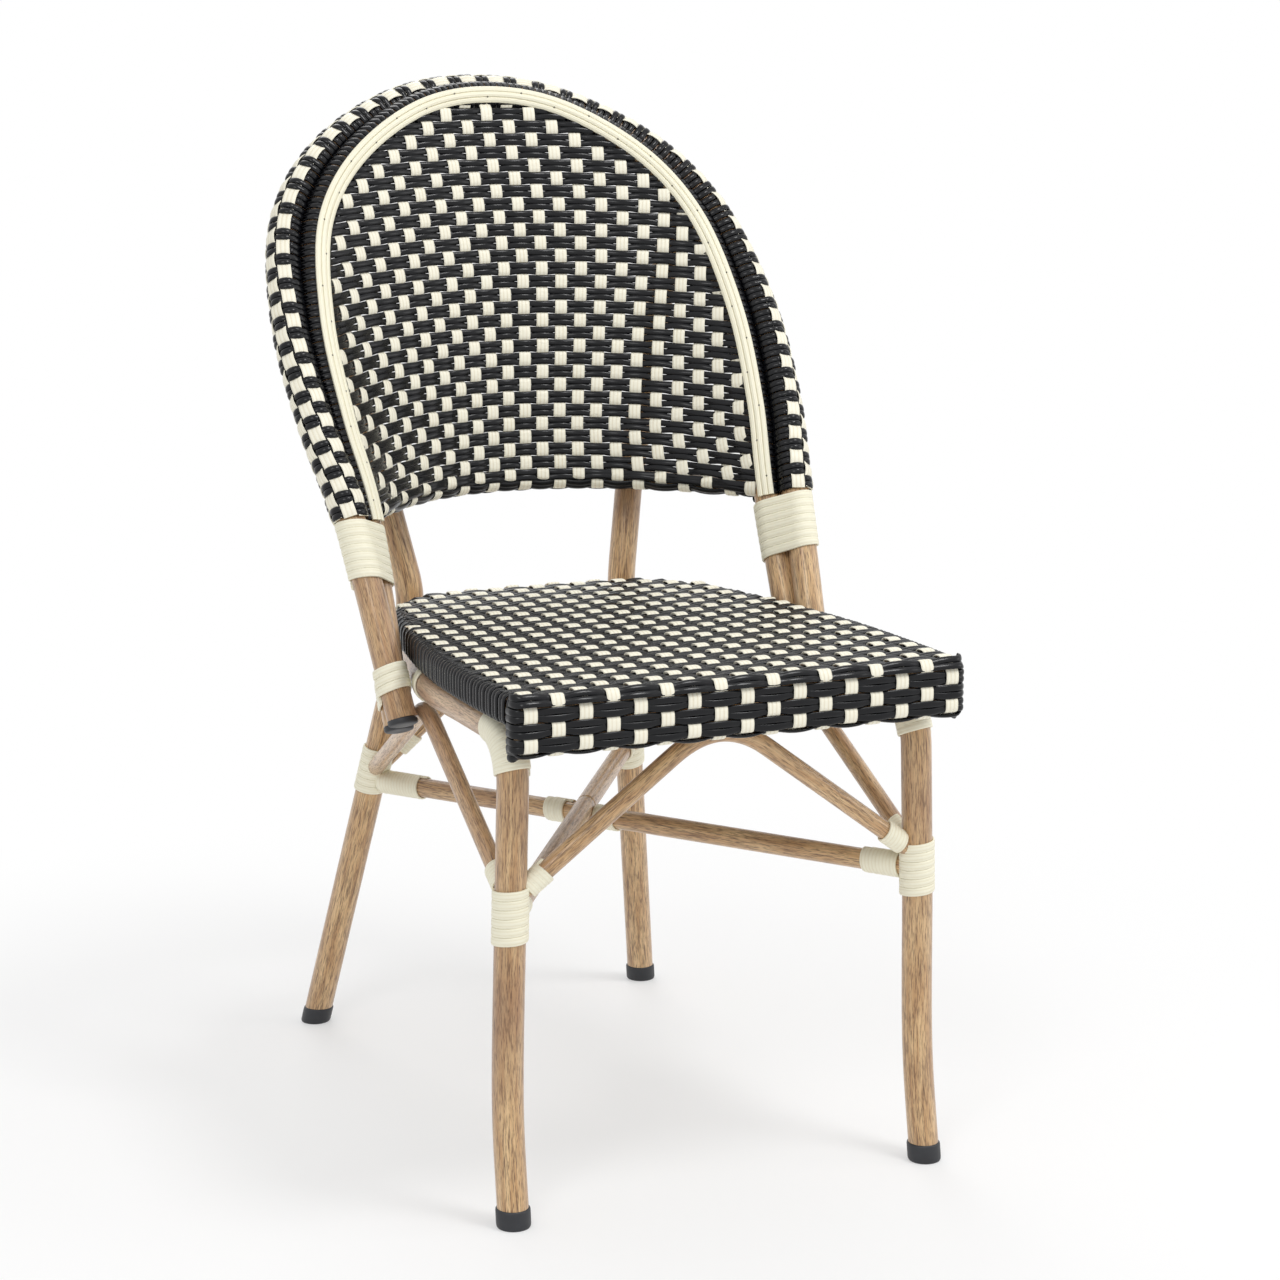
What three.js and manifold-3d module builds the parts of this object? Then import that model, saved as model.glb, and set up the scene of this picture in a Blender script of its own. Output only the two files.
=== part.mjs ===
import * as THREE from 'three';
import { mergeVertices } from 'three/addons/utils/BufferGeometryUtils.js';
import Module from 'manifold-3d';

const wasm = await Module();
wasm.setup();

// Bistro chair: bent tube frame, woven seat and back, and strand wraps over the joints.
// Millimetres. Seen from the front, -X is the left and +X the right; -Y is the front and +Z up.
// Depths below count from a plane just behind the seat's middle; the finished chair is then moved
// so that its origin lies on the floor under its middle.

const originBack = 111.2;

// Tubes and the clearance that touching pieces keep
const legDiameter = 26;
const hoopDiameter = 26;
const stretcherDiameter = 18;
const archDiameter = 15.5;
const tubeWall = 1.8;
const fit = 0.3;

// Front legs, each one tube with the seat's side rail; insets count inward from the seat's side
const frontFootInset = 11;
const frontFootFront = 165;
const frontKneeInset = 12;
const frontKneeHeight = 95;
const frontLegFront = 152.5;
const frontBendInset = 18.5;
const cornerBendRadius = 40;
const railHeight = 404;
const railFrontInset = 20.5;
const railMiddleInset = 23;
const railMiddleBack = 35;
const railHoopInset = 38.5;
const railHoopBack = 112;

// Rear legs, from the floor past the seat and up behind the back
const rearFootInset = 26;
const rearFootBack = 408;
const rearBendSpanShare = 0.5237;
const rearBendBack = 298.5;
const rearBendAboveRail = 28;
const rearBendRadius = 90;
const rearPostSpanShare = 0.61845;
const rearPostBack = 320.5;
const rearPostAboveRail = 126;
const rearPostEndShare = 0.83525;
const rearPostEndOffset = 10;

// Hoops of the back: the inner one carries the woven panel, the outer one the rim
const hoopOutset = 5;
const hoopRise = 528;
const hoopSetback = 295.5;
const hoopFootBelowRail = 39;
const hoopFootBack = 88;
const twistAtTop = -53;
const twistAtEnds = 80;
const twistSoftness = 0.12;
// Height, half width and setback of the inner hoop, from the top to its lower end
const hoopOutlineShares = [
  [1, 0, 1],
  [0.979, 0.33, 0.97],
  [0.894, 0.7, 0.868],
  [0.79, 0.905, 0.762],
  [0.63, 0.995, 0.582],
  [0.465, 0.99, 0.401],
  [0.335, 0.955, 0.269],
  [0, 0.9445, 0],
];

// Woven skins, strands and the piping
const weaveThickness = 3;
const strandWidth = 6.2;
const strandThickness = 1.8;
const strandGap = 0.6;
const cornerStrandWidth = 4;
const pipingStrandWidth = 5.6;
const pipingStrandThickness = 2;
// Directions round the inner hoop, in degrees from outward towards the front
const pipingDirection = 100;
const pipingSpread = 25.5;
const pipingEndShift = 16;
const rimLip = 150;
const twistSlack = 4;
const bottomRailDiameter = 14;
const panelBottomAboveRail = 126;
const panelBottomBack = 303;
const panelBow = 123;
const panelCornerBow = 20;
const panelInset = 7.5;
const railReachShare = 0.985;
const panelEdgeDirection = 141;

// Seat
const seatThickness = 26.9;
const seatHalfWidth = 200.5;
const seatFront = 204;
const seatSetIn = 2.5;
const seatBack = 271;
const seatFrameDiameter = 20;
const seatEdgeRound = 8;
const apronDepth = 49;
const apronThickness = 29;
const apronRound = 11;
const apronBarDiameter = 20;
const apronBarInset = 12;
// Half width and place from front to back of the seat's plan
const seatOutlineShares = [
  [0.5, 0],
  [0.955, 0],
  [0.992, 0.012],
  [1, 0.045],
  [0.99, 0.38],
  [0.905, 0.635],
  [0.79, 0.84],
  [0.64, 0.935],
  [0.4, 0.99],
  [0, 1],
];

// Stretchers and arches
const frontJointBelowRail = 147;
const rearJointBelowRail = 150;
const rearStretcherStep = 13;
const frontArchStep = 12;
const frontArchAboveRail = 2.7;
const frontArchRound = 70;
const sideArchStep = 11.5;
const sideArchInset = 24.5;
const sideArchBack = 68;
const sideArchBelowRail = 20;
const sideArchRound = 50;
const sideArchRearStep = 10;
const rearArchStep = 8;
const rearArchBelowRail = 14.3;
const rearArchRound = 60;
const rearRailDiameter = 18;
const frontRailDiameter = 16;

// Feet and end plugs
const glideWall = 1.1;
const glideFloor = 8;
const glideHeight = 16;
const plugThickness = 5;
const plugSpigot = 12;
const plugRound = 2;

// Wraps: turns of strand and where they start
const backWrapAboveRail = 122;
const backWrapTurns = 7;
const sideWrapAboveRail = 10;
const sideWrapTurns = 3;
const tieBack = 30;
const tieTurns = 2;
const tiePitch = 7.4;
const cornerWrapTurns = 8;
const cornerWrapPitch = 7.4;
const jointPitch = 7.5;
// How far each joint's middle lies above its stretcher, and how far the loops part for the braces
const frontJointStep = 12.7;
const rearJointStep = 13;
const frontJointOpening = 25.2;
const rearJointOpening = 33;
const jointTurns = 6;
const stretcherWrapStart = 27;
const archWrapStart = 33;
const rearArchWrapStart = 46;
const frontStretcherTurns = 3;
const frontArchTurns = 3;
const sideArchTurns = 2;
const rearStretcherTurns = { left: 5, right: 2 };
const rearArchTurns = 2;
const crossingStart = 19;
const crossingTurns = 3;
// Directions round a leg, in degrees from +X: the side away from the braces, and the widths of its level part
const jointOuterSide = { front_left: 225, front_right: 315, rear_left: 130, rear_right: 50 };
const jointBlockedHalf = 80;
const jointLevelHalf = 30;

// Half widths that follow the seat's, so that legs, rails and back keep beside it
const frontFootHalfSpan = seatHalfWidth - frontFootInset;
const frontKneeHalfSpan = seatHalfWidth - frontKneeInset;
const frontBendHalfSpan = seatHalfWidth - frontBendInset;
const railFrontHalfSpan = seatHalfWidth - railFrontInset;
const railMiddleHalfSpan = seatHalfWidth - railMiddleInset;
const railHoopHalfSpan = seatHalfWidth - railHoopInset;
const rearFootHalfSpan = seatHalfWidth - rearFootInset;
const rearBendHalfSpan = seatHalfWidth * rearBendSpanShare;
const rearPostHalfSpan = seatHalfWidth * rearPostSpanShare;
const hoopHalfWidth = seatHalfWidth + hoopOutset;
const panelHalfWidth = seatHalfWidth - panelInset;
const sideArchHalfSpan = seatHalfWidth - sideArchInset;

// Heights that follow the side rails, so that legs, seat and back keep together
const rearBendHeight = railHeight + rearBendAboveRail;
const rearPostHeight = railHeight + rearPostAboveRail;
const hoopFootHeight = railHeight - hoopFootBelowRail;
const rearPostEndHeight = hoopFootHeight + hoopRise * rearPostEndShare;
const panelBottomHeight = railHeight + panelBottomAboveRail;
const backWrapTop = railHeight + backWrapAboveRail;
const sideWrapTop = railHeight + sideWrapAboveRail;
const frontJointHeight = railHeight - frontJointBelowRail;
const rearJointHeightLeft = railHeight - rearJointBelowRail;
const rearJointHeightRight = rearJointHeightLeft + rearStretcherStep;
const frontArchFoot = frontJointHeight + frontArchStep;
const frontArchPeak = railHeight + frontArchAboveRail;
const sideArchFoot = frontJointHeight + sideArchStep;
const sideArchPeak = railHeight - sideArchBelowRail;
const sideArchRearFoot = rearJointHeightLeft + sideArchRearStep;
const rearArchFoot = rearJointHeightLeft + rearArchStep;
const rearArchPeak = railHeight - rearArchBelowRail;

// Facets: sides of a tube and steps of a loop, and the fineness of the searches along a curve
const tubeSides = 12;
const archSides = 8;
const bendSteps = 5;
const edgeSteps = 3;
const hoopTurnStep = 11;
const hoopRunStep = 90;
const rimSteps = 10;
const outlineSteps = 14;
const loopSteps = 12;
const thinLoopSteps = 8;
const panelColumns = 20;
const panelRows = 3;
const searchSteps = 40;
const measureSteps = 400;
const halfTurn = 180;

// Finishes
const tubeFinish = { color: 0x9f7b57, roughness: 0.42, metalness: 0.15 };
const blackWeave = { color: 0x1f2128, roughness: 0.45, metalness: 0 };
const creamStrand = { color: 0xece7cc, roughness: 0.55, metalness: 0 };
const blackPlastic = { color: 0x17181a, roughness: 0.5, metalness: 0 };

const chair = new THREE.Group();
chair.name = 'rattan_bistro_chair';
const sides = [['left', -1], ['right', 1]];
const degrees = THREE.MathUtils.degToRad;

function at(x, y, z) {
  return new THREE.Vector3(x, y, z);
}

function place(name, geometry, finish) {
  const mesh = new THREE.Mesh(geometry, new THREE.MeshStandardMaterial(finish));
  mesh.name = name;
  chair.add(mesh);
  return mesh;
}

// A route whose steps fall on its own points, so that straight runs stay plain and bends stay round
class StationPath extends THREE.Curve {
  constructor(points) {
    super();
    this.points = points;
  }

  getPoint(t, target = new THREE.Vector3()) {
    const reach = t * (this.points.length - 1);
    const before = Math.min(Math.floor(reach), this.points.length - 2);
    return target.lerpVectors(this.points[before], this.points[before + 1], reach - before);
  }

  getPointAt(u, target) {
    return this.getPoint(u, target);
  }

  getTangentAt(u, target = new THREE.Vector3()) {
    const last = this.points.length - 1;
    const here = Math.round(u * last);
    const from = this.points[Math.max(here, 1) - 1];
    const to = this.points[Math.min(here + 1, last)];
    const arriving = this.points[Math.max(here, 1)].clone().sub(from).normalize();
    const leaving = to.clone().sub(this.points[Math.min(here, last - 1)]).normalize();
    return target.addVectors(arriving, leaving).normalize();
  }
}

// Points of a run of straight pieces with each corner rounded off to a radius
function roundedRoute(corners, radii) {
  const points = [corners[0]];
  for (let i = 1; i < corners.length - 1; i += 1) {
    const into = corners[i].clone().sub(corners[i - 1]).normalize();
    const out = corners[i + 1].clone().sub(corners[i]).normalize();
    const half = into.angleTo(out) / 2;
    const reach = radii[i - 1] * Math.tan(half);
    const entry = corners[i].clone().addScaledVector(into, -reach);
    const exit = corners[i].clone().addScaledVector(out, reach);
    const bend = new THREE.QuadraticBezierCurve3(entry, corners[i], exit);
    points.push(...bend.getPoints(bendSteps));
  }
  points.push(corners[corners.length - 1]);
  return points;
}

function roundSection(diameter, count) {
  const shape = new THREE.Shape();
  for (let i = 0; i < count; i += 1) {
    const turn = (i / count) * Math.PI * 2;
    const x = (diameter / 2) * Math.cos(turn);
    const y = (diameter / 2) * Math.sin(turn);
    if (i === 0) shape.moveTo(x, y);
    else shape.lineTo(x, y);
  }
  shape.closePath();
  return shape;
}

// A solid from rings of points; each ring is a section, and a closed loft joins its last ring
// to its first
function loft(rings, closed = false) {
  const count = rings[0].length;
  const positions = rings.flat().flatMap((point) => point.toArray());
  const index = [];
  const spans = closed ? rings.length : rings.length - 1;
  for (let i = 0; i < spans; i += 1) {
    const next = (i + 1) % rings.length;
    for (let j = 0; j < count; j += 1) {
      const a = i * count + j;
      const b = i * count + ((j + 1) % count);
      const c = next * count + j;
      const d = next * count + ((j + 1) % count);
      index.push(a, b, d, a, d, c);
    }
  }
  if (!closed) {
    const ends = [[rings[0], 0, true], [rings[rings.length - 1], spans * count, false]];
    for (const [ring, start, flip] of ends) {
      for (const face of capFaces(ring)) {
        const corners = face.map((corner) => start + corner);
        if (flip) corners.reverse();
        index.push(...corners);
      }
    }
  }
  const geometry = new THREE.BufferGeometry();
  geometry.setAttribute('position', new THREE.Float32BufferAttribute(positions, 3));
  geometry.setIndex(index);
  return facedOutward(geometry);
}

// Triangles that close a flat ring, seen along the ring's own normal
function capFaces(ring) {
  const middle = ring.reduce((sum, point) => sum.add(point), at(0, 0, 0)).divideScalar(ring.length);
  const normal = at(0, 0, 0);
  ring.forEach((point, i) => {
    const next = ring[(i + 1) % ring.length];
    normal.add(point.clone().sub(middle).cross(next.clone().sub(middle)));
  });
  normal.normalize();
  const across = ring[0].clone().sub(middle);
  across.addScaledVector(normal, -across.dot(normal)).normalize();
  const up = normal.clone().cross(across);
  const flat = ring.map((point) => {
    const arm = point.clone().sub(middle);
    return new THREE.Vector2(arm.dot(across), arm.dot(up));
  });
  return THREE.ShapeUtils.triangulateShape(flat, []);
}

function facedOutward(geometry) {
  const points = geometry.attributes.position;
  const index = geometry.index.array;
  const corner = [at(0, 0, 0), at(0, 0, 0), at(0, 0, 0)];
  let volume = 0;
  for (let i = 0; i < index.length; i += 3) {
    corner.forEach((point, k) => point.fromBufferAttribute(points, index[i + k]));
    volume += corner[0].dot(corner[1].clone().cross(corner[2]));
  }
  if (volume < 0) {
    for (let i = 0; i < index.length; i += 3) {
      [index[i], index[i + 1]] = [index[i + 1], index[i]];
    }
  }
  return geometry;
}

function welded(geometry) {
  const bare = geometry.clone();
  bare.deleteAttribute('normal');
  bare.deleteAttribute('uv');
  return facedOutward(mergeVertices(bare));
}

function solid(geometry) {
  const bare = welded(geometry);
  return new wasm.Manifold(new wasm.Mesh({
    numProp: 3,
    vertProperties: new Float32Array(bare.attributes.position.array),
    triVerts: new Uint32Array(bare.index.array),
  }));
}

// The largest body of a result, so that no sliver is left beside it
function geometryOf(result) {
  const [body] = result.decompose().sort((one, other) => other.volume() - one.volume());
  const mesh = body.getMesh();
  const geometry = new THREE.BufferGeometry();
  geometry.setAttribute('position', new THREE.BufferAttribute(mesh.vertProperties, mesh.numProp));
  geometry.setIndex(new THREE.BufferAttribute(mesh.triVerts, 1));
  return geometry;
}

function cut(geometry, ...tools) {
  return geometryOf(tools.reduce((body, tool) => body.subtract(solid(tool)), solid(geometry)));
}

function tube(points, diameter, count = tubeSides) {
  const geometry = new THREE.ExtrudeGeometry(roundSection(diameter, count), {
    steps: points.length - 1,
    extrudePath: new StationPath(points),
    bevelEnabled: false,
  });
  return welded(geometry);
}

function mirrored(points, side) {
  return points.map((point) => at(point.x * side, point.y, point.z));
}

// Routes of the frame

function frontLegRoute() {
  const leg = new THREE.CatmullRomCurve3([
    at(frontFootHalfSpan, -frontFootFront, glideFloor + fit),
    at(frontKneeHalfSpan, -frontLegFront, frontKneeHeight),
    at((frontKneeHalfSpan + frontBendHalfSpan) / 2, -frontLegFront, (frontKneeHeight + railHeight) / 2),
    at(frontBendHalfSpan, -frontLegFront, railHeight - cornerBendRadius),
  ]);
  const points = leg.getSpacedPoints(bendSteps);
  for (let i = 1; i <= bendSteps; i += 1) {
    const turn = (i / bendSteps) * (Math.PI / 2);
    points.push(at(
      THREE.MathUtils.lerp(frontBendHalfSpan, railFrontHalfSpan, i / bendSteps),
      -frontLegFront + cornerBendRadius * (1 - Math.cos(turn)),
      railHeight - cornerBendRadius * (1 - Math.sin(turn)),
    ));
  }
  const railStart = points[points.length - 1];
  const rail = new THREE.CatmullRomCurve3([
    railStart,
    at((railFrontHalfSpan + railMiddleHalfSpan) / 2, (railStart.y + railMiddleBack) / 2, railHeight),
    at(railMiddleHalfSpan, railMiddleBack, railHeight),
    at(railHoopHalfSpan, railHoopBack, railHeight),
    rearLegPointAt(railHeight),
  ]);
  points.push(...rail.getPoints(2 * bendSteps).slice(1));
  return points;
}

function rearLegPointAt(height) {
  const share = height / rearBendHeight;
  return at(
    THREE.MathUtils.lerp(rearFootHalfSpan, rearBendHalfSpan, share),
    THREE.MathUtils.lerp(rearFootBack, rearBendBack, share),
    height,
  );
}

function rearLegRoute() {
  const lower = roundedRoute([
    rearLegPointAt(glideFloor + fit),
    rearLegPointAt(rearBendHeight),
    at(rearPostHalfSpan, rearPostBack, rearPostHeight),
  ], [rearBendRadius]);
  const top = outerHoopPoint(hoopShareAt(rearPostEndHeight));
  const upper = new THREE.QuadraticBezierCurve3(
    at(rearPostHalfSpan, rearPostBack, rearPostHeight),
    at(
      (rearPostHalfSpan + top.x) / 2,
      rearPostBack + rearPostBack - rearBendBack,
      (rearPostHeight + top.z) / 2,
    ),
    at(top.x, top.y + rearPostEndOffset, top.z),
  );
  return [...lower, ...upper.getPoints(bendSteps).slice(1)];
}

const hoopHalf = hoopOutlineShares.map(([rise, width, setback]) => at(
  hoopHalfWidth * width,
  hoopFootBack + hoopSetback * setback,
  hoopFootHeight + hoopRise * rise,
));
const hoopCurve = new THREE.CatmullRomCurve3([
  ...mirrored(hoopHalf.slice(1), -1).reverse(),
  ...hoopHalf,
], false, 'centripetal');
const hoopLean = Math.atan(hoopSetback / hoopRise);

// Frame of the inner hoop at a share of its half length: 0 at the top, 1 at the right end, -1 at the left
function hoopFrame(share) {
  const u = (share + 1) / 2;
  const along = hoopCurve.getTangentAt(u);
  const front = at(0, -Math.cos(hoopLean), Math.sin(hoopLean));
  front.addScaledVector(along, -front.dot(along)).normalize();
  const out = front.clone().cross(along);
  const reach = Math.abs(share);
  const fullReach = Math.hypot(1, twistSoftness) - twistSoftness;
  const ease = (Math.hypot(reach, twistSoftness) - twistSoftness) / fullReach;
  const twist = degrees(THREE.MathUtils.lerp(twistAtTop, twistAtEnds, ease));
  return { centre: hoopCurve.getPointAt(u), along, front, out, twist };
}

// The share at which the inner hoop's right side stands at a height
function hoopShareAt(height) {
  let low = 0;
  let high = 1;
  for (let i = 0; i < searchSteps; i += 1) {
    const middle = (low + high) / 2;
    if (hoopFrame(middle).centre.z > height) low = middle;
    else high = middle;
  }
  return low;
}

const hoopSpacing = hoopDiameter + fit;

// Directions across the two hoops: from the inner to the outer, and the square one that starts at the front
function pairFrame(share) {
  const frame = hoopFrame(share);
  const toOuter = frame.out.clone().multiplyScalar(Math.cos(frame.twist));
  toOuter.addScaledVector(frame.front, Math.sin(frame.twist));
  const square = frame.front.clone().multiplyScalar(Math.cos(frame.twist));
  square.addScaledVector(frame.out, -Math.sin(frame.twist));
  return { ...frame, toOuter, square };
}

function outerHoopPoint(share) {
  const frame = pairFrame(share);
  return frame.centre.clone().addScaledVector(frame.toOuter, hoopSpacing);
}

// Shares along the right half, closer where the hoop bends, with a station at each given share
const hoopLength = hoopCurve.getLength() / 2;

function hoopShares(stops) {
  const shares = [0];
  for (let k = 1; k < stops.length; k += 1) {
    const measure = [0];
    for (let i = 1; i <= measureSteps; i += 1) {
      const here = THREE.MathUtils.lerp(stops[k - 1], stops[k], i / measureSteps);
      const before = THREE.MathUtils.lerp(stops[k - 1], stops[k], (i - 1) / measureSteps);
      const bend = hoopFrame(here).along.angleTo(hoopFrame(before).along);
      const run = (here - before) * hoopLength;
      measure.push(measure[i - 1] + bend / degrees(hoopTurnStep) + run / hoopRunStep);
    }
    const total = measure[measureSteps];
    const count = Math.ceil(total);
    for (let n = 1; n <= count; n += 1) {
      const goal = (total * n) / count;
      const i = n === count ? measureSteps : measure.findIndex((value) => value >= goal);
      shares.push(THREE.MathUtils.lerp(stops[k - 1], stops[k], i / measureSteps));
    }
  }
  return shares;
}

const backWrapShare = hoopShareAt(backWrapTop);
const skinEndShare = backWrapShare - (strandWidth / 2 + strandGap) / hoopLength;
const rightShares = hoopShares([0, skinEndShare, 1]);
const allShares = [...rightShares.slice(1).map((share) => -share).reverse(), ...rightShares];
const skinShares = allShares.filter((share) => Math.abs(share) <= skinEndShare);

// A point round the inner hoop at a direction in degrees from outward towards the front
function aroundHoop(frame, centre, direction, radius) {
  return centre.clone()
    .addScaledVector(frame.out, radius * Math.cos(degrees(direction)))
    .addScaledVector(frame.front, radius * Math.sin(degrees(direction)));
}

function hoopRing(frame, centre, diameter) {
  return Array.from({ length: tubeSides }, (_, i) => aroundHoop(
    frame,
    centre,
    THREE.MathUtils.radToDeg((Math.PI * 2 * i) / tubeSides),
    diameter / 2,
  ));
}

function hoopTube(shares, centreOf, diameter) {
  return loft(shares.map((share) => hoopRing(hoopFrame(share), centreOf(share), diameter)));
}

function innerHoopPoint(share) {
  return hoopFrame(share).centre;
}

// End plugs, and the bores at the tube ends that hold them

function turned(profile, count) {
  const points = profile.map(([radius, height]) => new THREE.Vector2(radius, height));
  return welded(new THREE.LatheGeometry(points, count));
}

function standingAt(geometry, point, axis) {
  const turn = new THREE.Quaternion().setFromUnitVectors(at(0, 0, 1), axis.clone().normalize());
  return geometry.clone()
    .rotateX(Math.PI / 2)
    .applyQuaternion(turn)
    .translate(point.x, point.y, point.z);
}

function bore(point, axis, diameter, depth) {
  const drill = new THREE.CylinderGeometry(diameter / 2, diameter / 2, depth * 2, tubeSides);
  return standingAt(drill, point, axis);
}

function plug(point, axis, diameter) {
  const radius = diameter / 2;
  const spigot = radius - tubeWall - fit;
  const profile = [
    [0, plugThickness + fit],
    [radius - plugRound, plugThickness + fit],
    [radius, plugThickness + fit - plugRound],
    [radius, fit],
    [spigot, fit],
    [spigot, -plugSpigot],
    [0, -plugSpigot],
  ];
  return standingAt(turned(profile, tubeSides), point, axis);
}

const hoopEnds = [['left', -1], ['right', 1]];

function hoopEndAxis(end) {
  return hoopFrame(end).along.multiplyScalar(end);
}

function boredHoop(centreOf) {
  const inner = hoopDiameter - 2 * tubeWall;
  const drills = hoopEnds.map(([, end]) => bore(centreOf(end), hoopEndAxis(end), inner, plugSpigot + fit));
  return cut(hoopTube(allShares, centreOf, hoopDiameter), ...drills);
}

// Frame

const frontLegs = {};
const rearLegs = {};
for (const [name, side] of sides) {
  frontLegs[name] = mirrored(frontLegRoute(), side);
  rearLegs[name] = mirrored(rearLegRoute(), side);
}
const legCutters = {};
for (const [name] of sides) {
  legCutters[`front_${name}`] = tube(frontLegs[name], legDiameter + 2 * fit);
  legCutters[`rear_${name}`] = tube(rearLegs[name], legDiameter + 2 * fit);
}

const rimRoom = (hoopDiameter / 2 + fit) / Math.cos(degrees(rimLip / rimSteps + twistSlack));
const rimClear = (rimRoom + weaveThickness + fit) / Math.cos(Math.PI / tubeSides);
const postEndShare = hoopShareAt(rearPostEndHeight);
for (const [name, side] of sides) {
  const near = skinShares.filter((share) => Math.abs(share - side * postEndShare) < postEndShare / 2);
  const sleeves = [
    hoopTube(near, innerHoopPoint, hoopDiameter + 2 * fit),
    hoopTube(near, outerHoopPoint, 2 * rimClear),
  ];
  place(`front_leg_${name}`, cut(tube(frontLegs[name], legDiameter), legCutters[`rear_${name}`]), tubeFinish);
  place(`rear_leg_${name}`, cut(tube(rearLegs[name], legDiameter), ...sleeves), tubeFinish);
}

place('back_inner_hoop', boredHoop(innerHoopPoint), tubeFinish);
place('back_outer_hoop', boredHoop(outerHoopPoint), tubeFinish);
for (const [name, end] of hoopEnds) {
  place(`inner_hoop_plug_${name}`, plug(innerHoopPoint(end), hoopEndAxis(end), hoopDiameter), blackPlastic);
  place(`outer_hoop_plug_${name}`, plug(outerHoopPoint(end), hoopEndAxis(end), hoopDiameter), blackPlastic);
}

// Straight rails under the seat, cut to the tubes that carry them
const rearRailHeight = rearArchTop() + archDiameter / 2 + fit + rearRailDiameter / 2;
const rearRailEnd = rearLegPointAt(rearRailHeight);
place('seat_rear_rail', cut(
  tube([at(-rearRailEnd.x, rearRailEnd.y, rearRailHeight), rearRailEnd], rearRailDiameter),
  legCutters.rear_left,
  legCutters.rear_right,
), tubeFinish);

const loopReach = (legDiameter / 2 + fit) / Math.cos(Math.PI / loopSteps);
const wrappedLegDiameter = 2 * (loopReach + strandThickness + 2 * fit);
const frontRailHeight = frontArchTop() + archDiameter / 2 + fit + frontRailDiameter / 2;
const frontRailBack = -frontLegFront;
place('seat_front_rail', cut(
  tube([
    at(-railFrontHalfSpan, frontRailBack, frontRailHeight),
    at(railFrontHalfSpan, frontRailBack, frontRailHeight),
  ], frontRailDiameter),
  ...sides.map(([name]) => tube(frontLegs[name], wrappedLegDiameter)),
), tubeFinish);

// Stretchers: one runs through from rear left to front right, and two halves meet it where they cross

function frontLegPointAt(height) {
  const route = frontLegs.right;
  const above = route.findIndex((point) => point.z > height);
  const [low, high] = [route[above - 1], route[above]];
  return low.clone().lerp(high, (height - low.z) / (high.z - low.z));
}

const frontJoint = frontLegPointAt(frontJointHeight);
const rearLeftJoint = mirrored([rearLegPointAt(rearJointHeightLeft)], -1)[0];
const rearRightJoint = rearLegPointAt(rearJointHeightRight);
const frontLeftJoint = mirrored([frontJoint], -1)[0];
const throughLine = [rearLeftJoint, frontJoint];
const halfLine = [frontLeftJoint, rearRightJoint];

function pointAtPlane(line, x) {
  return line[0].clone().lerp(line[1], (x - line[0].x) / (line[1].x - line[0].x));
}

const crossing = pointAtPlane(throughLine, 0);
const halfCrossing = pointAtPlane(halfLine, 0);
const throughCutter = tube(throughLine, stretcherDiameter + 2 * fit);
place('stretcher_through', cut(
  tube(throughLine, stretcherDiameter),
  legCutters.rear_left,
  legCutters.front_right,
), tubeFinish);
place('stretcher_half_front', cut(
  tube([frontLeftJoint, halfCrossing], stretcherDiameter),
  legCutters.front_left,
  throughCutter,
), tubeFinish);
place('stretcher_half_rear', cut(
  tube([halfCrossing, rearRightJoint], stretcherDiameter),
  legCutters.rear_right,
  throughCutter,
), tubeFinish);

// Arches: bent braces from leg to leg, rounded at the top under the seat

function frontArchRoute() {
  const foot = frontLegPointAt(frontArchFoot);
  return roundedRoute([
    at(-foot.x, foot.y, frontArchFoot),
    at(0, foot.y, frontArchPeak),
    at(foot.x, foot.y, frontArchFoot),
  ], [frontArchRound]);
}

function rearArchRoute() {
  const foot = rearLegPointAt(rearArchFoot);
  return roundedRoute([
    at(-foot.x, foot.y, rearArchFoot),
    at(0, rearLegPointAt(rearArchPeak).y, rearArchPeak),
    at(foot.x, foot.y, rearArchFoot),
  ], [rearArchRound]);
}

function highest(points) {
  return Math.max(...points.map((point) => point.z));
}

function frontArchTop() {
  return highest(frontArchRoute());
}

function rearArchTop() {
  return highest(rearArchRoute());
}

function sideArchRoute(side) {
  return mirrored(roundedRoute([
    frontLegPointAt(sideArchFoot),
    at(sideArchHalfSpan, sideArchBack, sideArchPeak),
    rearLegPointAt(sideArchRearFoot),
  ], [sideArchRound]), side);
}

const stretcherCutters = {
  left: tube(throughLine, stretcherDiameter + 2 * fit),
  right: tube(halfLine, stretcherDiameter + 2 * fit),
};
place('front_arch', cut(
  tube(frontArchRoute(), archDiameter, archSides),
  legCutters.front_left,
  legCutters.front_right,
  stretcherCutters.left,
  stretcherCutters.right,
), tubeFinish);
place('rear_arch', cut(
  tube(rearArchRoute(), archDiameter, archSides),
  legCutters.rear_left,
  legCutters.rear_right,
  stretcherCutters.left,
  stretcherCutters.right,
), tubeFinish);
for (const [name, side] of sides) {
  place(`side_arch_${name}`, cut(
    tube(sideArchRoute(side), archDiameter, archSides),
    legCutters[`front_${name}`],
    legCutters[`rear_${name}`],
    stretcherCutters.left,
    stretcherCutters.right,
  ), tubeFinish);
}

// Feet: cups round the tube ends, flat where they stand on the floor

function glide(route) {
  const axis = route[0].clone().sub(route[1]).normalize();
  const outer = legDiameter + 2 * (fit + glideWall);
  const middle = route[0].clone().addScaledVector(axis, glideFloor);
  const reach = glideHeight + glideFloor;
  const cup = new THREE.CylinderGeometry(outer / 2, outer / 2, reach * 2, tubeSides);
  const floor = new THREE.BoxGeometry(outer * 2, outer * 2, reach * 2);
  floor.translate(route[0].x, route[0].y, -reach);
  const sky = new THREE.BoxGeometry(outer * 2, outer * 2, reach * 2);
  sky.translate(route[0].x, route[0].y, glideHeight + reach);
  return { body: standingAt(cup, middle, axis), floor, sky };
}

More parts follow.
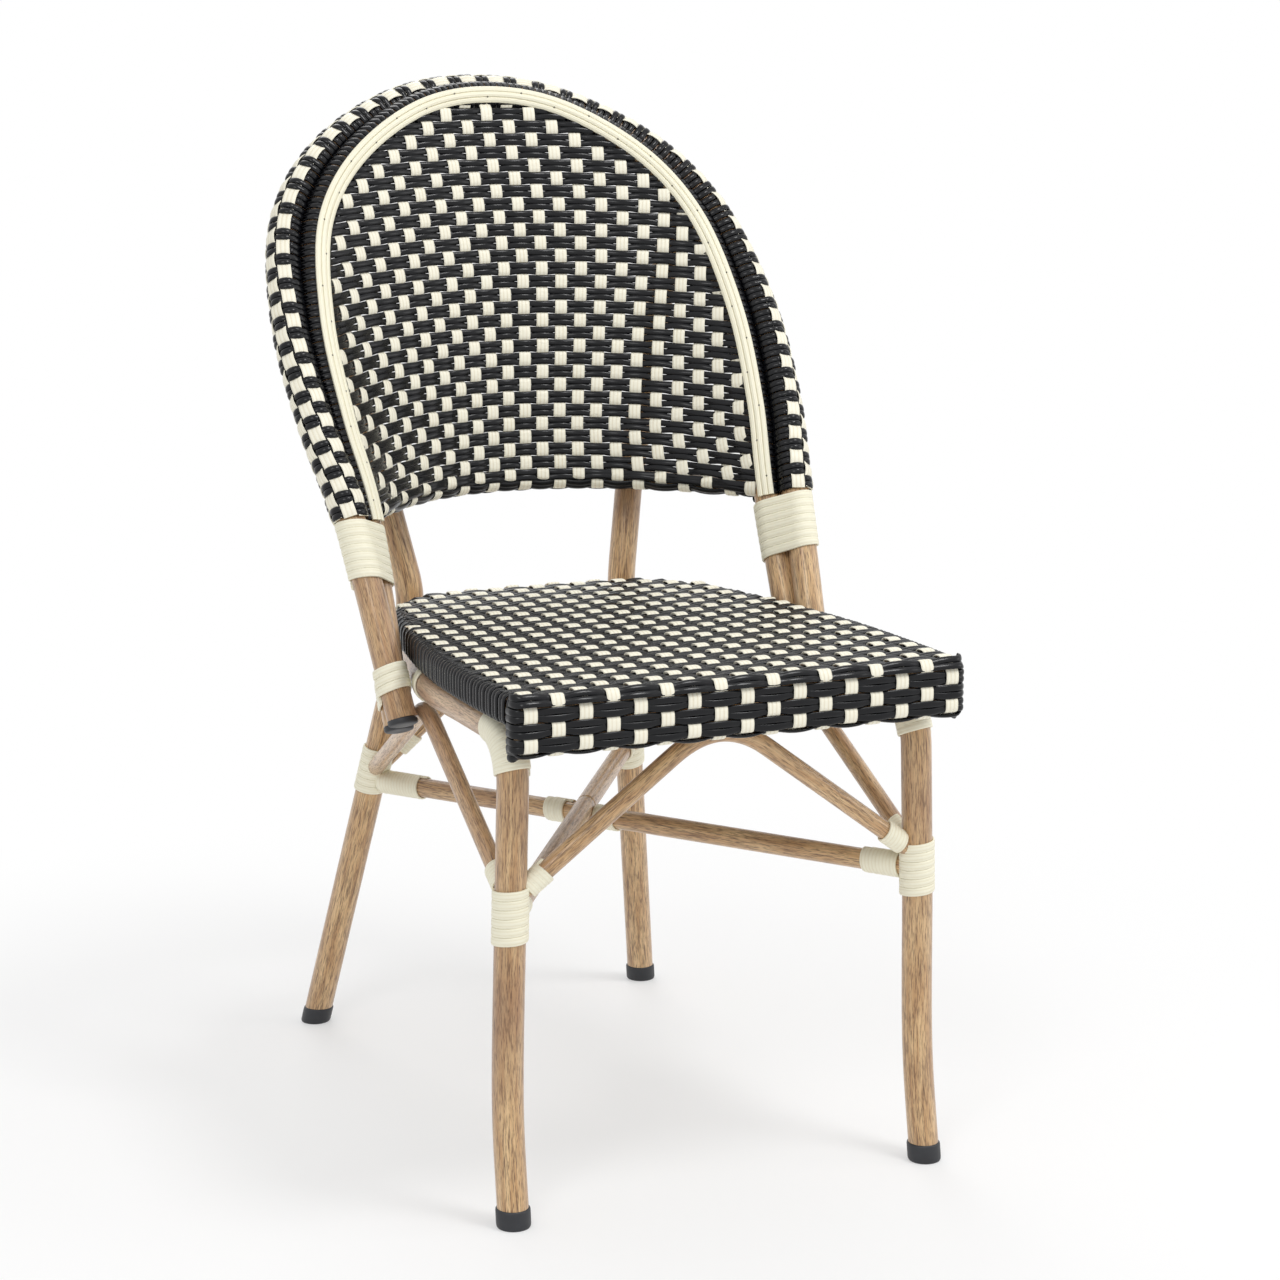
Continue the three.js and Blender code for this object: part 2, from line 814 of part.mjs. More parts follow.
for (const [name] of sides) {
  for (const [end, routes] of [['front', frontLegs], ['rear', rearLegs]]) {
    const { body, floor, sky } = glide(routes[name]);
    place(`${end}_glide_${name}`, cut(body, floor, sky, legCutters[`${end}_${name}`]), blackPlastic);
  }
}

// Seat: a D-shaped frame tube and a bar below its front run, both inside the woven cover

function seatPlanPoint(width, depth, inset) {
  const front = -(seatFront - seatSetIn - inset);
  const back = seatBack - inset;
  return at((seatHalfWidth - inset) * width, THREE.MathUtils.lerp(front, back, depth), 0);
}

// The seat's outline drawn in by an inset and lifted to a height
function seatOutline(inset, height) {
  const plan = new THREE.CatmullRomCurve3([
    ...seatOutlineShares.slice(0, -1).map(([width, depth]) => seatPlanPoint(-width, depth, inset)),
    ...seatOutlineShares.slice().reverse().map(([width, depth]) => seatPlanPoint(width, depth, inset)),
  ], true, 'centripetal');
  return Array.from({ length: 2 * outlineSteps }, (_, i) => {
    const point = plan.getPointAt(i / (2 * outlineSteps));
    point.z = height;
    return point;
  });
}

function loopTube(inset, height, diameter, count = archSides) {
  const rim = seatOutline(0, 0);
  const rings = rim.map((_, i) => {
    const ring = [];
    for (let k = 0; k < count; k += 1) {
      const turn = (k / count) * Math.PI * 2;
      const reach = inset + (diameter / 2) * Math.cos(turn);
      ring.push(seatOutline(reach, height + (diameter / 2) * Math.sin(turn))[i]);
    }
    return ring;
  });
  return loft(rings, true);
}

const seatBottomHeight = railHeight + legDiameter / 2 + strandThickness + fit;
const seatTopHeight = seatBottomHeight + seatThickness;
const seatFrameInset = weaveThickness + fit + seatFrameDiameter / 2;
const seatFrameHeight = seatTopHeight - weaveThickness - fit - seatFrameDiameter / 2;
const apronBack = apronThickness - seatFront;
const apronBarBack = -seatFront + apronThickness / 2;
const apronBottom = seatTopHeight - apronDepth;
const apronBarHeight = apronBottom + weaveThickness + fit + apronBarDiameter / 2;

// Steps of a rounded edge: how far each lies in from the side and from the face
function rounded(radius, steps) {
  return Array.from({ length: steps + 1 }, (_, i) => {
    const turn = (i / steps) * (Math.PI / 2);
    return [radius * (1 - Math.sin(turn)), radius * (1 - Math.cos(turn))];
  });
}

function seatBody() {
  const edge = rounded(seatEdgeRound, edgeSteps);
  const top = edge.map(([inset, drop]) => seatOutline(inset, seatTopHeight - drop));
  const bottom = edge.map(([inset, rise]) => seatOutline(inset, seatBottomHeight + rise));
  return loft([...bottom, ...top.reverse()]);
}

// The apron's section from front to back, with all four edges rounded, at a distance across the chair
function apronSection(x, inset) {
  const ring = [];
  const high = seatTopHeight - seatEdgeRound;
  const corners = [
    [-seatFront, apronBottom, 1, 1],
    [apronBack, apronBottom, -1, 1],
    [apronBack, high, -1, -1],
    [-seatFront, high, 1, -1],
  ];
  corners.forEach(([y, z, inY, inZ], corner) => {
    const steps = rounded(apronRound - inset / 2, edgeSteps);
    if (corner % 2 === 0) steps.reverse();
    for (const [across, up] of steps) {
      ring.push(at(x, y + inY * (inset + across), z + inZ * (inset + up)));
    }
  });
  return ring;
}

function apronBody() {
  const round = apronRound / 2;
  const stops = [[seatHalfWidth, round], [seatHalfWidth - round / 3, round / 3], [seatHalfWidth - round, 0]];
  return loft([
    ...stops.map(([x, inset]) => apronSection(-x, inset)),
    ...stops.reverse().map(([x, inset]) => apronSection(x, inset)),
  ]);
}

const apronBarReach = seatHalfWidth - apronBarInset;
place('seat_frame', loopTube(seatFrameInset, seatFrameHeight, seatFrameDiameter), tubeFinish);
place('seat_apron_bar', tube([
  at(-apronBarReach, apronBarBack, apronBarHeight),
  at(apronBarReach, apronBarBack, apronBarHeight),
], apronBarDiameter, archSides), tubeFinish);

function seatCover() {
  const frameRoom = loopTube(seatFrameInset, seatFrameHeight, seatFrameDiameter + 2 * fit);
  const barRoom = tube([
    at(-apronBarReach - fit, apronBarBack, apronBarHeight),
    at(apronBarReach + fit, apronBarBack, apronBarHeight),
  ], apronBarDiameter + 2 * fit, archSides);
  const between = new THREE.BoxGeometry(
    2 * apronBarReach - apronBarDiameter,
    apronBarDiameter / 2,
    seatFrameHeight - apronBarHeight,
  );
  between.translate(0, apronBarBack, (seatFrameHeight + apronBarHeight) / 2);
  const hollow = loft([
    seatOutline(seatFrameInset, apronBottom),
    seatOutline(seatFrameInset, seatTopHeight - weaveThickness),
  ]);
  const frontKeep = new THREE.BoxGeometry(2 * seatHalfWidth, 2 * seatFront, 2 * seatTopHeight);
  frontKeep.translate(0, apronBack - weaveThickness - seatFront, seatTopHeight);
  const body = solid(seatBody()).add(solid(apronBody()));
  const room = solid(hollow).subtract(solid(frontKeep));
  return geometryOf(
    body.subtract(room).subtract(solid(frameRoom)).subtract(solid(barRoom)).subtract(solid(between)),
  );
}

place('seat_weave', seatCover(), blackWeave);

// Piping: three strands side by side along the front of the inner hoop

function pipingRing(share, lane, grow = 0) {
  const frame = hoopFrame(share);
  const shift = pipingEndShift * (Math.abs(share) / skinEndShare) ** 4;
  const direction = pipingDirection + shift + lane * pipingSpread;
  const along = frame.along;
  const middle = aroundHoop(frame, at(0, 0, 0), direction, 1);
  const across = middle.clone().cross(along).normalize();
  const level = pipingStrandThickness + grow;
  return [[-1, -grow], [1, -grow], [1, level], [-1, level]].map(([side, height]) => frame.centre.clone()
    .addScaledVector(middle, hoopDiameter / 2 + fit + height)
    .addScaledVector(across, side * (pipingStrandWidth / 2 + grow)));
}

for (const [name, lane] of [['outer', -1], ['middle', 0], ['inner', 1]]) {
  place(`piping_${name}`, loft(skinShares.map((share) => pipingRing(share, lane))), creamStrand);
}

// Woven back: a curved panel that lies against the front of the inner hoop and of the bottom rail,
// and rolls round the rail

const railCornerShare = hoopShareAt(panelBottomHeight);
const bottomRailHeight = panelBottomHeight + weaveThickness + fit + bottomRailDiameter / 2;

function bottomRailPoint(u) {
  const width = u * railReachShare;
  const back = panelBottomBack - panelBow * width ** 2 - panelCornerBow * width ** 4;
  return at(panelHalfWidth * width, back, bottomRailHeight);
}

// The way forward from the bottom rail, square to the rail and to the panel's rise
const panelRise = hoopFrame(0).centre.sub(bottomRailPoint(0)).normalize();

function railFront(u) {
  const step = 1 / (panelColumns * panelRows);
  const along = bottomRailPoint(u + step).sub(bottomRailPoint(u - step));
  return along.cross(panelRise).normalize();
}

function panelPoint(u, v) {
  const frame = hoopFrame(u * hoopShareAt(bottomRailHeight + weaveThickness));
  const rollRadius = (bottomRailDiameter + weaveThickness) / 2 + fit;
  const edgeRadius = (hoopDiameter + weaveThickness) / 2 + fit;
  const low = bottomRailPoint(u).addScaledVector(railFront(u), rollRadius);
  return low.lerp(aroundHoop(frame, frame.centre, panelEdgeDirection, edgeRadius), v);
}

function panelSheet() {
  const positions = [];
  const index = [];
  const rows = panelRows + 1;
  const sheet = (panelColumns + 1) * rows;
  for (const face of [1, -1]) {
    for (let i = 0; i <= panelColumns; i += 1) {
      const u = -1 + (2 * i) / panelColumns;
      const step = 1 / (panelColumns * panelRows);
      const up = panelPoint(u, 1).sub(panelPoint(u, 0));
      for (let j = 0; j <= panelRows; j += 1) {
        const v = j / panelRows;
        const across = panelPoint(u + step, v).sub(panelPoint(u - step, v));
        const normal = across.cross(up).normalize();
        const point = panelPoint(u, v).addScaledVector(normal, (face * weaveThickness) / 2);
        positions.push(...point.toArray());
      }
    }
  }
  const quad = (a, b, c, d) => index.push(a, b, c, a, c, d);
  for (let i = 0; i < panelColumns; i += 1) {
    for (let j = 0; j < panelRows; j += 1) {
      const a = i * rows + j;
      quad(a, a + rows, a + rows + 1, a + 1);
      quad(sheet + a, sheet + a + 1, sheet + a + rows + 1, sheet + a + rows);
    }
    const low = i * rows;
    const high = low + panelRows;
    quad(low + rows, low, sheet + low, sheet + low + rows);
    quad(high, high + rows, sheet + high + rows, sheet + high);
  }
  for (let j = 0; j < panelRows; j += 1) {
    const last = panelColumns * rows + j;
    quad(j, j + 1, sheet + j + 1, sheet + j);
    quad(last + 1, last, sheet + last, sheet + last + 1);
  }
  const geometry = new THREE.BufferGeometry();
  geometry.setAttribute('position', new THREE.Float32BufferAttribute(positions, 3));
  geometry.setIndex(index);
  return facedOutward(geometry);
}

const railRoute = Array.from(
  { length: panelColumns + 1 },
  (_, i) => bottomRailPoint(-1 + (2 * i) / panelColumns),
);

// The same route with both ends carried on straight, for a cut that runs out past the piece
function runOut(route, reach) {
  const last = route.length - 1;
  const start = route[0].clone().sub(route[1]).setLength(reach).add(route[0]);
  const end = route[last].clone().sub(route[last - 1]).setLength(reach).add(route[last]);
  return [start, ...route.slice(1, -1), end];
}

const hoopRoom = hoopTube(allShares, innerHoopPoint, hoopDiameter + 2 * fit);
const pipingRoom = loft(skinShares.map((share) => pipingRing(share, 1, fit)));
place('back_bottom_rail', cut(
  tube(railRoute, bottomRailDiameter, archSides),
  hoopRoom,
  pipingRoom,
), tubeFinish);
place('back_panel', geometryOf(
  solid(panelSheet())
    .add(solid(tube(railRoute, bottomRailDiameter + 2 * (fit + weaveThickness), archSides)))
    .subtract(solid(tube(runOut(railRoute, bottomRailDiameter), bottomRailDiameter + 2 * fit, archSides)))
    .subtract(solid(hoopRoom))
    .subtract(solid(pipingRoom)),
), blackWeave);

// Rim cover: a woven sleeve round the outer hoop, open along the line where it meets the inner hoop

function rimRing(share) {
  const frame = pairFrame(share);
  const centre = outerHoopPoint(share);
  const arc = (radius, from, to) => Array.from({ length: rimSteps + 1 }, (_, i) => {
    const turn = degrees(THREE.MathUtils.lerp(from, to, i / rimSteps));
    return centre.clone()
      .addScaledVector(frame.toOuter, radius * Math.cos(turn))
      .addScaledVector(frame.square, radius * Math.sin(turn));
  });
  return [...arc(rimRoom + weaveThickness, -rimLip, rimLip), ...arc(rimRoom, rimLip, -rimLip)];
}

place('rim_cover', loft(skinShares.map(rimRing)), blackWeave);

// Wraps: one unbroken flat strand each, whose loops lie beside each other round one tube or two

// A ring of the strand: on its path, square to the tube's surface there, with its width along the tube
function strandRing(point, outward, along, width) {
  return [[-1, 0], [1, 0], [1, 1], [-1, 1]].map(([side, level]) => point.clone()
    .addScaledVector(along, (side * width) / 2)
    .addScaledVector(outward, level * strandThickness));
}

// Least distance between loops that lie beside each other, measured from corner to corner line
function leastGap(rings, perLoop) {
  let least = Infinity;
  const segment = new THREE.Line3();
  const nearest = at(0, 0, 0);
  for (let i = 0; i + perLoop < rings.length; i += 1) {
    const last = Math.min(rings.length - 1, i + perLoop + 1);
    for (let k = Math.max(1, i + perLoop - 1); k <= last; k += 1) {
      for (const corner of rings[i]) {
        rings[k].forEach((end, edge) => {
          segment.set(rings[k - 1][edge], end).closestPointToPoint(corner, true, nearest);
          least = Math.min(least, nearest.distanceTo(corner));
        });
      }
    }
  }
  return least;
}

function wrap(name, rings, perLoop) {
  place(name, loft(rings), creamStrand);
  console.log(`${name} least gap ${leastGap(rings, perLoop).toFixed(2)} mm`);
}

// The strand's loops on one straight or bent tube, given the tube's frame at each distance along it
function tubeWrap(name, frameAt, diameter, start, turns, options) {
  const { pitch, width, steps, startAngle, shift } = options;
  const reach = (diameter / 2 + fit) / Math.cos(Math.PI / steps);
  const rings = [];
  for (let i = 0; i <= turns * steps; i += 1) {
    const angle = startAngle + (i / steps) * Math.PI * 2;
    const drift = shift ? shift(angle, Math.floor(i / steps)) : 0;
    const frame = frameAt(start + (i / steps) * pitch + drift);
    const outward = frame.first.clone().multiplyScalar(Math.cos(angle));
    outward.addScaledVector(frame.second, Math.sin(angle));
    const point = frame.centre.clone().addScaledVector(outward, reach);
    rings.push(strandRing(point, outward, frame.along, width));
  }
  wrap(name, rings, steps);
}

// A frame along a straight tube, with its first direction as near as can be to a given one
function straightFrame(from, to, reference) {
  const along = to.clone().sub(from).normalize();
  const first = reference.clone().addScaledVector(along, -reference.dot(along)).normalize();
  const second = along.clone().cross(first);
  return (distance) => ({ centre: from.clone().addScaledVector(along, distance), along, first, second });
}

const strandPitch = strandWidth + strandGap;
const plainWrap = { pitch: strandPitch, width: strandWidth, steps: thinLoopSteps, startAngle: 0 };
const sideways = at(1, 0, 0);
const upward = at(0, 0, 1);

// Round both hoops, below the back panel and beside the seat

function pairWrap(name, side, topShare, turns) {
  const reach = (hoopDiameter / 2 + fit) / Math.cos(Math.PI / loopSteps + degrees(twistSlack));
  const half = loopSteps / 2;
  const perLoop = loopSteps + 2;
  const rings = [];
  for (let i = 0; i <= turns * perLoop; i += 1) {
    const inLoop = i % perLoop;
    const share = side * (topShare + ((i / perLoop) * strandPitch) / hoopLength);
    const frame = pairFrame(share);
    const roundOuter = inLoop <= half;
    const swept = roundOuter ? inLoop : inLoop - half - 1;
    const turn = (Math.PI * swept) / half + (roundOuter ? -Math.PI / 2 : Math.PI / 2);
    const outward = frame.toOuter.clone().multiplyScalar(Math.cos(turn));
    outward.addScaledVector(frame.square, Math.sin(turn));
    const centre = roundOuter ? outerHoopPoint(share) : frame.centre;
    rings.push(strandRing(centre.clone().addScaledVector(outward, reach), outward, frame.along, strandWidth));
  }
  wrap(name, rings, perLoop);
}

const sideWrapShare = hoopShareAt(sideWrapTop);
for (const [name, side] of sides) {
  pairWrap(`back_wrap_${name}`, side, backWrapShare, backWrapTurns);
  pairWrap(`seat_side_wrap_${name}`, side, sideWrapShare, sideWrapTurns);
}

// Round the bend of each front leg, and a tie round the side rail in front of the hoops

function routeFrame(route) {
  const lengths = [0];
  route.slice(1).forEach((point, i) => lengths.push(lengths[i] + point.distanceTo(route[i])));
  const path = new StationPath(route);
  return (distance) => {
    const i = Math.max(1, lengths.findIndex((length) => length >= distance));
    const inside = (distance - lengths[i - 1]) / (lengths[i] - lengths[i - 1]);
    const last = route.length - 1;
    const before = path.getTangentAt((i - 1) / last);
    const along = before.lerp(path.getTangentAt(i / last), inside).normalize();
    const first = sideways.clone().addScaledVector(along, -along.x).normalize();
    const centre = route[i - 1].clone().lerp(route[i], inside);
    return { centre, along, first, second: along.clone().cross(first) };
  };
}

function distanceWhere(route, test) {
  let length = 0;
  for (let i = 1; i < route.length; i += 1) {
    if (test(route[i])) return length;
    length += route[i].distanceTo(route[i - 1]);
  }
  return length;
}

const cornerWrap = { pitch: cornerWrapPitch, width: cornerStrandWidth, steps: loopSteps, startAngle: 0 };
for (const [name] of sides) {
  const route = frontLegs[name];
  const frameAt = routeFrame(route);
  const bendStart = distanceWhere(route, (point) => point.z > railHeight - cornerBendRadius + fit);
  tubeWrap(`corner_wrap_${name}`, frameAt, legDiameter, bendStart, cornerWrapTurns, cornerWrap);
  const tie = distanceWhere(route, (point) => point.y > tieBack);
  tubeWrap(`seat_tie_${name}`, frameAt, legDiameter, tie, tieTurns, {
    ...plainWrap,
    pitch: tiePitch,
    steps: loopSteps,
  });
}

// Round each leg at its joint: level on the open side, and spread on the other to clear the braces' roots

function jointWrap(name, legPoint, outerSide, jointCentre, jointOpening) {
  const along = legPoint(jointCentre + jointOpening).sub(legPoint(jointCentre - jointOpening)).normalize();
  const first = sideways.clone().addScaledVector(along, -along.x).normalize();
  const centre = legPoint(jointCentre);
  const second = along.clone().cross(first);
  const frameAt = (distance) => ({
    centre: centre.clone().addScaledVector(along, distance),
    along,
    first,
    second,
  });
  const start = degrees(outerSide);
  const half = (jointTurns * jointPitch) / 2;
  const spread = jointOpening - jointPitch / 2;
  const level = degrees(jointLevelHalf);
  const blocked = degrees(halfTurn - jointBlockedHalf);
  const shift = (angle, turn) => {
    const away = Math.abs(Math.atan2(Math.sin(angle - start), Math.cos(angle - start)));
    const rise = THREE.MathUtils.smoothstep(away, level, blocked);
    return (turn < jointTurns / 2 ? -spread : spread) * rise;
  };
  const options = { pitch: jointPitch, width: strandWidth, steps: loopSteps, startAngle: start, shift };
  tubeWrap(name, frameAt, legDiameter, -half, jointTurns, options);
}

const frontJointMiddle = frontJointHeight + frontJointStep;
const rearJointMiddle = rearJointHeightLeft + rearJointStep;
for (const [name, side] of sides) {
  for (const [end, legPoint, middle, opening] of [
    ['front', frontLegPointAt, frontJointMiddle, frontJointOpening],
    ['rear', rearLegPointAt, rearJointMiddle, rearJointOpening],
  ]) {
    const onSide = (height) => mirrored([legPoint(height)], side)[0];
    jointWrap(`joint_wrap_${end}_${name}`, onSide, jointOuterSide[`${end}_${name}`], middle, opening);
  }
}

// Round the braces beside the joints, and round the stretchers where they cross

for (const [name, side] of sides) {
  const last = (route, n) => route[route.length - 1 - n];
  const frontRoute = frontArchRoute();
  const rearRoute = rearArchRoute();
  const [frontFoot, frontNext] = side < 0 ? frontRoute : [last(frontRoute, 0), last(frontRoute, 1)];
  const [rearFoot, rearNext] = side < 0 ? rearRoute : [last(rearRoute, 0), last(rearRoute, 1)];
  const sideRoute = sideArchRoute(side);
  const branches = [
    [`front_arch_wrap_${name}`, frontFoot, frontNext, archDiameter, archWrapStart, frontArchTurns],
    [`side_arch_wrap_${name}`, sideRoute[0], sideRoute[1], archDiameter, archWrapStart, sideArchTurns],
    [`rear_arch_wrap_${name}`, rearFoot, rearNext, archDiameter, rearArchWrapStart, rearArchTurns],
  ];
  const [through, half] = [throughLine, halfLine];
  const frontEnd = side < 0 ? [half[0], half[1]] : [through[1], through[0]];
  const rearEnd = side < 0 ? [through[0], through[1]] : [half[1], half[0]];
  const onStretcher = [stretcherDiameter, stretcherWrapStart];
  branches.push([`front_stretcher_wrap_${name}`, ...frontEnd, ...onStretcher, frontStretcherTurns]);
  branches.push([`rear_stretcher_wrap_${name}`, ...rearEnd, ...onStretcher, rearStretcherTurns[name]]);
  for (const [label, from, to, diameter, start, turns] of branches) {
    tubeWrap(label, straightFrame(from, to, upward), diameter, start, turns, plainWrap);
  }
}

const crossingFrame = straightFrame(crossing, throughLine[1], upward);
tubeWrap('crossing_wrap', crossingFrame, stretcherDiameter, crossingStart, crossingTurns, plainWrap);

// The finished chair stands with its middle over the origin
chair.children.forEach((mesh) => mesh.geometry.translate(0, -originBack, 0));

export default chair;
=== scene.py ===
import math

import bpy
import numpy as np
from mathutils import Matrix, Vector


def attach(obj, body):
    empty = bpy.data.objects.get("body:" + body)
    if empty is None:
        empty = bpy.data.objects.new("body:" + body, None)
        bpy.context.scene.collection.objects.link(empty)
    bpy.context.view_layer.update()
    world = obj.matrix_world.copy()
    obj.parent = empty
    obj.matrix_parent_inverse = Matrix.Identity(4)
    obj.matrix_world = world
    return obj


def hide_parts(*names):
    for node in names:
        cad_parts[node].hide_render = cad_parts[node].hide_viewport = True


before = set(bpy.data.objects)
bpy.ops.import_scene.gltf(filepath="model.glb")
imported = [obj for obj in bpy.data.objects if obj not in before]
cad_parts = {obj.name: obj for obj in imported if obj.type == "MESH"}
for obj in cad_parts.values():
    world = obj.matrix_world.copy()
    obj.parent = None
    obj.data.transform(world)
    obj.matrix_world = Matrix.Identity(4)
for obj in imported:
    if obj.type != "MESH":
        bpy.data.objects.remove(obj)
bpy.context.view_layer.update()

# The chair stands on a plain pale floor in even, soft light, and is seen from above its left front
# corner. The floor carries the soft shadow under the feet and fades to white away from the chair.

WHITE, FLOOR_TONE = (1, 1, 1, 1), (0.93, 0.93, 0.93, 1)
ROOM_LIGHT, FLOOR_GLOW = 0.62, 0.4
FLOOR_REACH, FADE_FROM, FADE_TO = 6, 0.35, 1.1
VIEW_PLACE, VIEW_WAY = (-1.0359, -2.4660, 0.9452), (0.3936, 0.8990, -0.1925)
VIEW_LENS, VIEW_SENSOR = 85.95, 36

def colour(code):
    """A colour written as on screen, as the shader counts it"""
    parts = [int(code[i:i + 2], 16) / 255 for i in (0, 2, 4)]
    return tuple(p / 12.92 if p < 0.04045 else ((p + 0.055) / 1.055) ** 2.4 for p in parts) + (1,)

def filled(made, sockets):
    """A node whose sockets are linked to the sockets given for them, or set to the values given"""
    for key, value in sockets.items():
        if isinstance(value, bpy.types.NodeSocket):
            made.id_data.links.new(value, made.inputs[key])
        else:
            made.inputs[key].default_value = value
    return made

def node(tree, kind, sockets=None, **settings):
    """A new node's outputs"""
    made = tree.nodes.new(kind)
    for key, value in settings.items():
        setattr(made, key, value)
    return filled(made, sockets or {}).outputs

def maths(tree, operation, *values):
    return node(tree, "ShaderNodeMath", dict(enumerate(values)), operation=operation)[0]

def place_of(tree):
    """Where a point lies on its piece"""
    return node(tree, "ShaderNodeTexCoord")["Object"]

def seen_white(tree):
    """A mask that is one for the camera, for gloss and for what shows through"""
    ray = node(tree, "ShaderNodeLightPath")
    shown = maths(tree, "MAXIMUM", ray["Is Camera Ray"], ray["Is Glossy Ray"])
    return maths(tree, "MAXIMUM", shown, ray["Is Transmission Ray"])

room = bpy.data.worlds.new("studio")
bpy.context.scene.world = room
room.use_nodes = True
sky = room.node_tree
strength = node(sky, "ShaderNodeMix", {"Factor": seen_white(sky), "A": ROOM_LIGHT, "B": 1.0})
filled(sky.nodes["Background"], {"Color": WHITE, "Strength": strength["Result"]})

def set_up(name, data, place, way):
    """A lamp or a camera at its place, turned to look along a way"""
    stand = bpy.data.objects.new(name, data)
    stand.location = place
    stand.rotation_euler = Vector(way).to_track_quat("-Z", "Y").to_euler()
    bpy.context.collection.objects.link(stand)
    return stand

def lamp(name, place, aim_height, size, power):
    light = bpy.data.lights.new(name, "AREA")
    light.shape = "DISK"
    light.size = size
    light.energy = power
    set_up(name, light, place, Vector((0, 0, aim_height)) - Vector(place))

lamp("key_lamp", (-1.6, -2.0, 2.6), 0.4, 1.2, 17)
lamp("high_lamp", (0.9, -1.3, 3.1), 0.5, 0.85, 29)
lamp("side_lamp", (2.4, -1.2, 1.5), 0.45, 1.4, 8)
lamp("rear_lamp", (0.4, 2.2, 2.4), 0.6, 1.6, 18)

camera = bpy.data.cameras.new("view")
camera.sensor_width = VIEW_SENSOR
camera.lens = VIEW_LENS
bpy.context.scene.camera = set_up("view", camera, VIEW_PLACE, VIEW_WAY)
bpy.context.scene.view_settings.view_transform = "Standard"

def new_material(name):
    """A material, with its nodes and its shader"""
    material = bpy.data.materials.new(name)
    material.use_nodes = True
    return material, material.node_tree, material.node_tree.nodes["Principled BSDF"]

ground = bpy.data.meshes.new("floor")
ground.from_pydata([(FLOOR_REACH * x, FLOOR_REACH * y, 0)
                    for x, y in ((-1, -1), (1, -1), (1, 1), (-1, 1))], [], [(0, 1, 2, 3)])
floor = bpy.data.objects.new("floor", ground)
bpy.context.collection.objects.link(floor)
paper, tree, shade = new_material("pale_floor")
filled(shade, {"Base Color": FLOOR_TONE, "Roughness": 0.85, "Specular IOR Level": 0.2})
glow = node(tree, "ShaderNodeEmission", {"Color": WHITE})
away = node(tree, "ShaderNodeVectorMath", {0: place_of(tree)}, operation="LENGTH")
fade = node(tree, "ShaderNodeMapRange",
            {"Value": away["Value"], "From Min": FADE_FROM, "From Max": FADE_TO,
             "To Min": FLOOR_GLOW}, interpolation_type="SMOOTHSTEP")
lit = maths(tree, "MULTIPLY", fade["Result"], seen_white(tree))
blend = node(tree, "ShaderNodeMixShader", {0: lit, 1: shade.outputs[0], 2: glow[0]})
filled(tree.nodes["Material Output"], {"Surface": blend[0]})
ground.materials.append(paper)

# Frame: legs, side rails and the two hoops of the back are bent aluminium tubes, 26 mm across,
# painted and grained to look like cane under a satin coat. Sizes are in millimetres, measured from
# a point that lies ORIGIN_BACK in front of the chair's own origin.

ORIGIN_BACK = 111.2
TUBE, HOOP_GAP, RINGS_APART = 26.0, 26.3, 6
LEG_END, RAIL_HEIGHT = 8.3, 404.0
FRONT_LEG = [(189.5, -165, LEG_END), (188.5, -152.5, 95), (185.25, -152.5, 249.5),
             (182, -152.5, 364)]
FRONT_BEND, BEND_INWARD = 40, 2
SIDE_RAIL_X, SIDE_RAIL = 178.75, [(177.5, 35), (162, 112)]
REAR_FOOT, REAR_BEND, REAR_BEND_HEIGHT = (174.5, 408), (105, 298.5), 432
POST, POST_BEND, POST_BOW_Y, POST_TOP = (124, 320.5, 530), 90, 342.5, 806
HOOP_WIDTH, HOOP_SETBACK, HOOP_RISE = 205.5, 295.5, 528
HOOP_END_Y, HOOP_END_Z = 88, 365
HOOP_SHARES = [(1, 0, 1), (0.979, 0.33, 0.97), (0.894, 0.7, 0.868), (0.79, 0.905, 0.762),
               (0.63, 0.995, 0.582), (0.465, 0.99, 0.401), (0.335, 0.955, 0.269), (0, 0.9445, 0)]
TWIST_TOP, TWIST_ROUND, TWIST_EASE = -53, 133, 0.12
SIDES = (("left", -1), ("right", 1))

def in_place(points):
    """Metres from the chair's own origin"""
    return (np.asarray(points, float) - (0, ORIGIN_BACK, 0)) / 1000

def unit(v):
    return v / np.linalg.norm(v, axis=-1, keepdims=True)

def square_to(way, along):
    """The part of a way that stands square to another"""
    return unit(way - along * (way * along).sum(-1, keepdims=True))

def bent(points, steps=16, closed=False):
    """A smooth bend through points, as a tube takes it over a former"""
    p = np.asarray(points, float)
    ends = (p[-1:], p[:2]) if closed else (2 * p[:1] - p[1:2], 2 * p[-1:] - p[-2:-1])
    p = np.vstack([ends[0], p, ends[1]])
    t = np.linspace(0, 1, steps, endpoint=False)[:, None]
    run = []
    for a, b, c, d in zip(p, p[1:], p[2:], p[3:]):
        k, m, n = (np.linalg.norm(q) ** 0.5 for q in (b - a, c - b, d - c))
        leave = ((b - a) / k - (c - a) / (k + m) + (c - b) / m) * m
        reach = ((c - b) / m - (d - b) / (m + n) + (d - c) / n) * m
        run.append(b + leave * t + (3 * (c - b) - 2 * leave - reach) * t ** 2
                   + (2 * (b - c) + leave + reach) * t ** 3)
    return np.vstack(run + ([] if closed else [p[-2:-1]]))

def curved(a, b, c, t):
    """A plain curve from a to c that leaves and arrives in line with b"""
    return (1 - t) ** 2 * a + 2 * t * (1 - t) * b + t ** 2 * c

def cornered(corners, radius, steps=14):
    """Straight runs with the corner between them bent round"""
    a, b, c = (np.asarray(p, float) for p in corners)
    into, out = unit(b - a), unit(c - b)
    back = radius * math.tan(math.acos(into @ out) / 2)
    t = np.linspace(0, 1, steps)[:, None]
    return np.vstack([a, curved(b - into * back, b, b + out * back, t), c])

def lengths(run):
    """How far along a run each of its points lies"""
    return np.concatenate([[0], np.cumsum(np.linalg.norm(np.diff(run, axis=0), axis=1))])

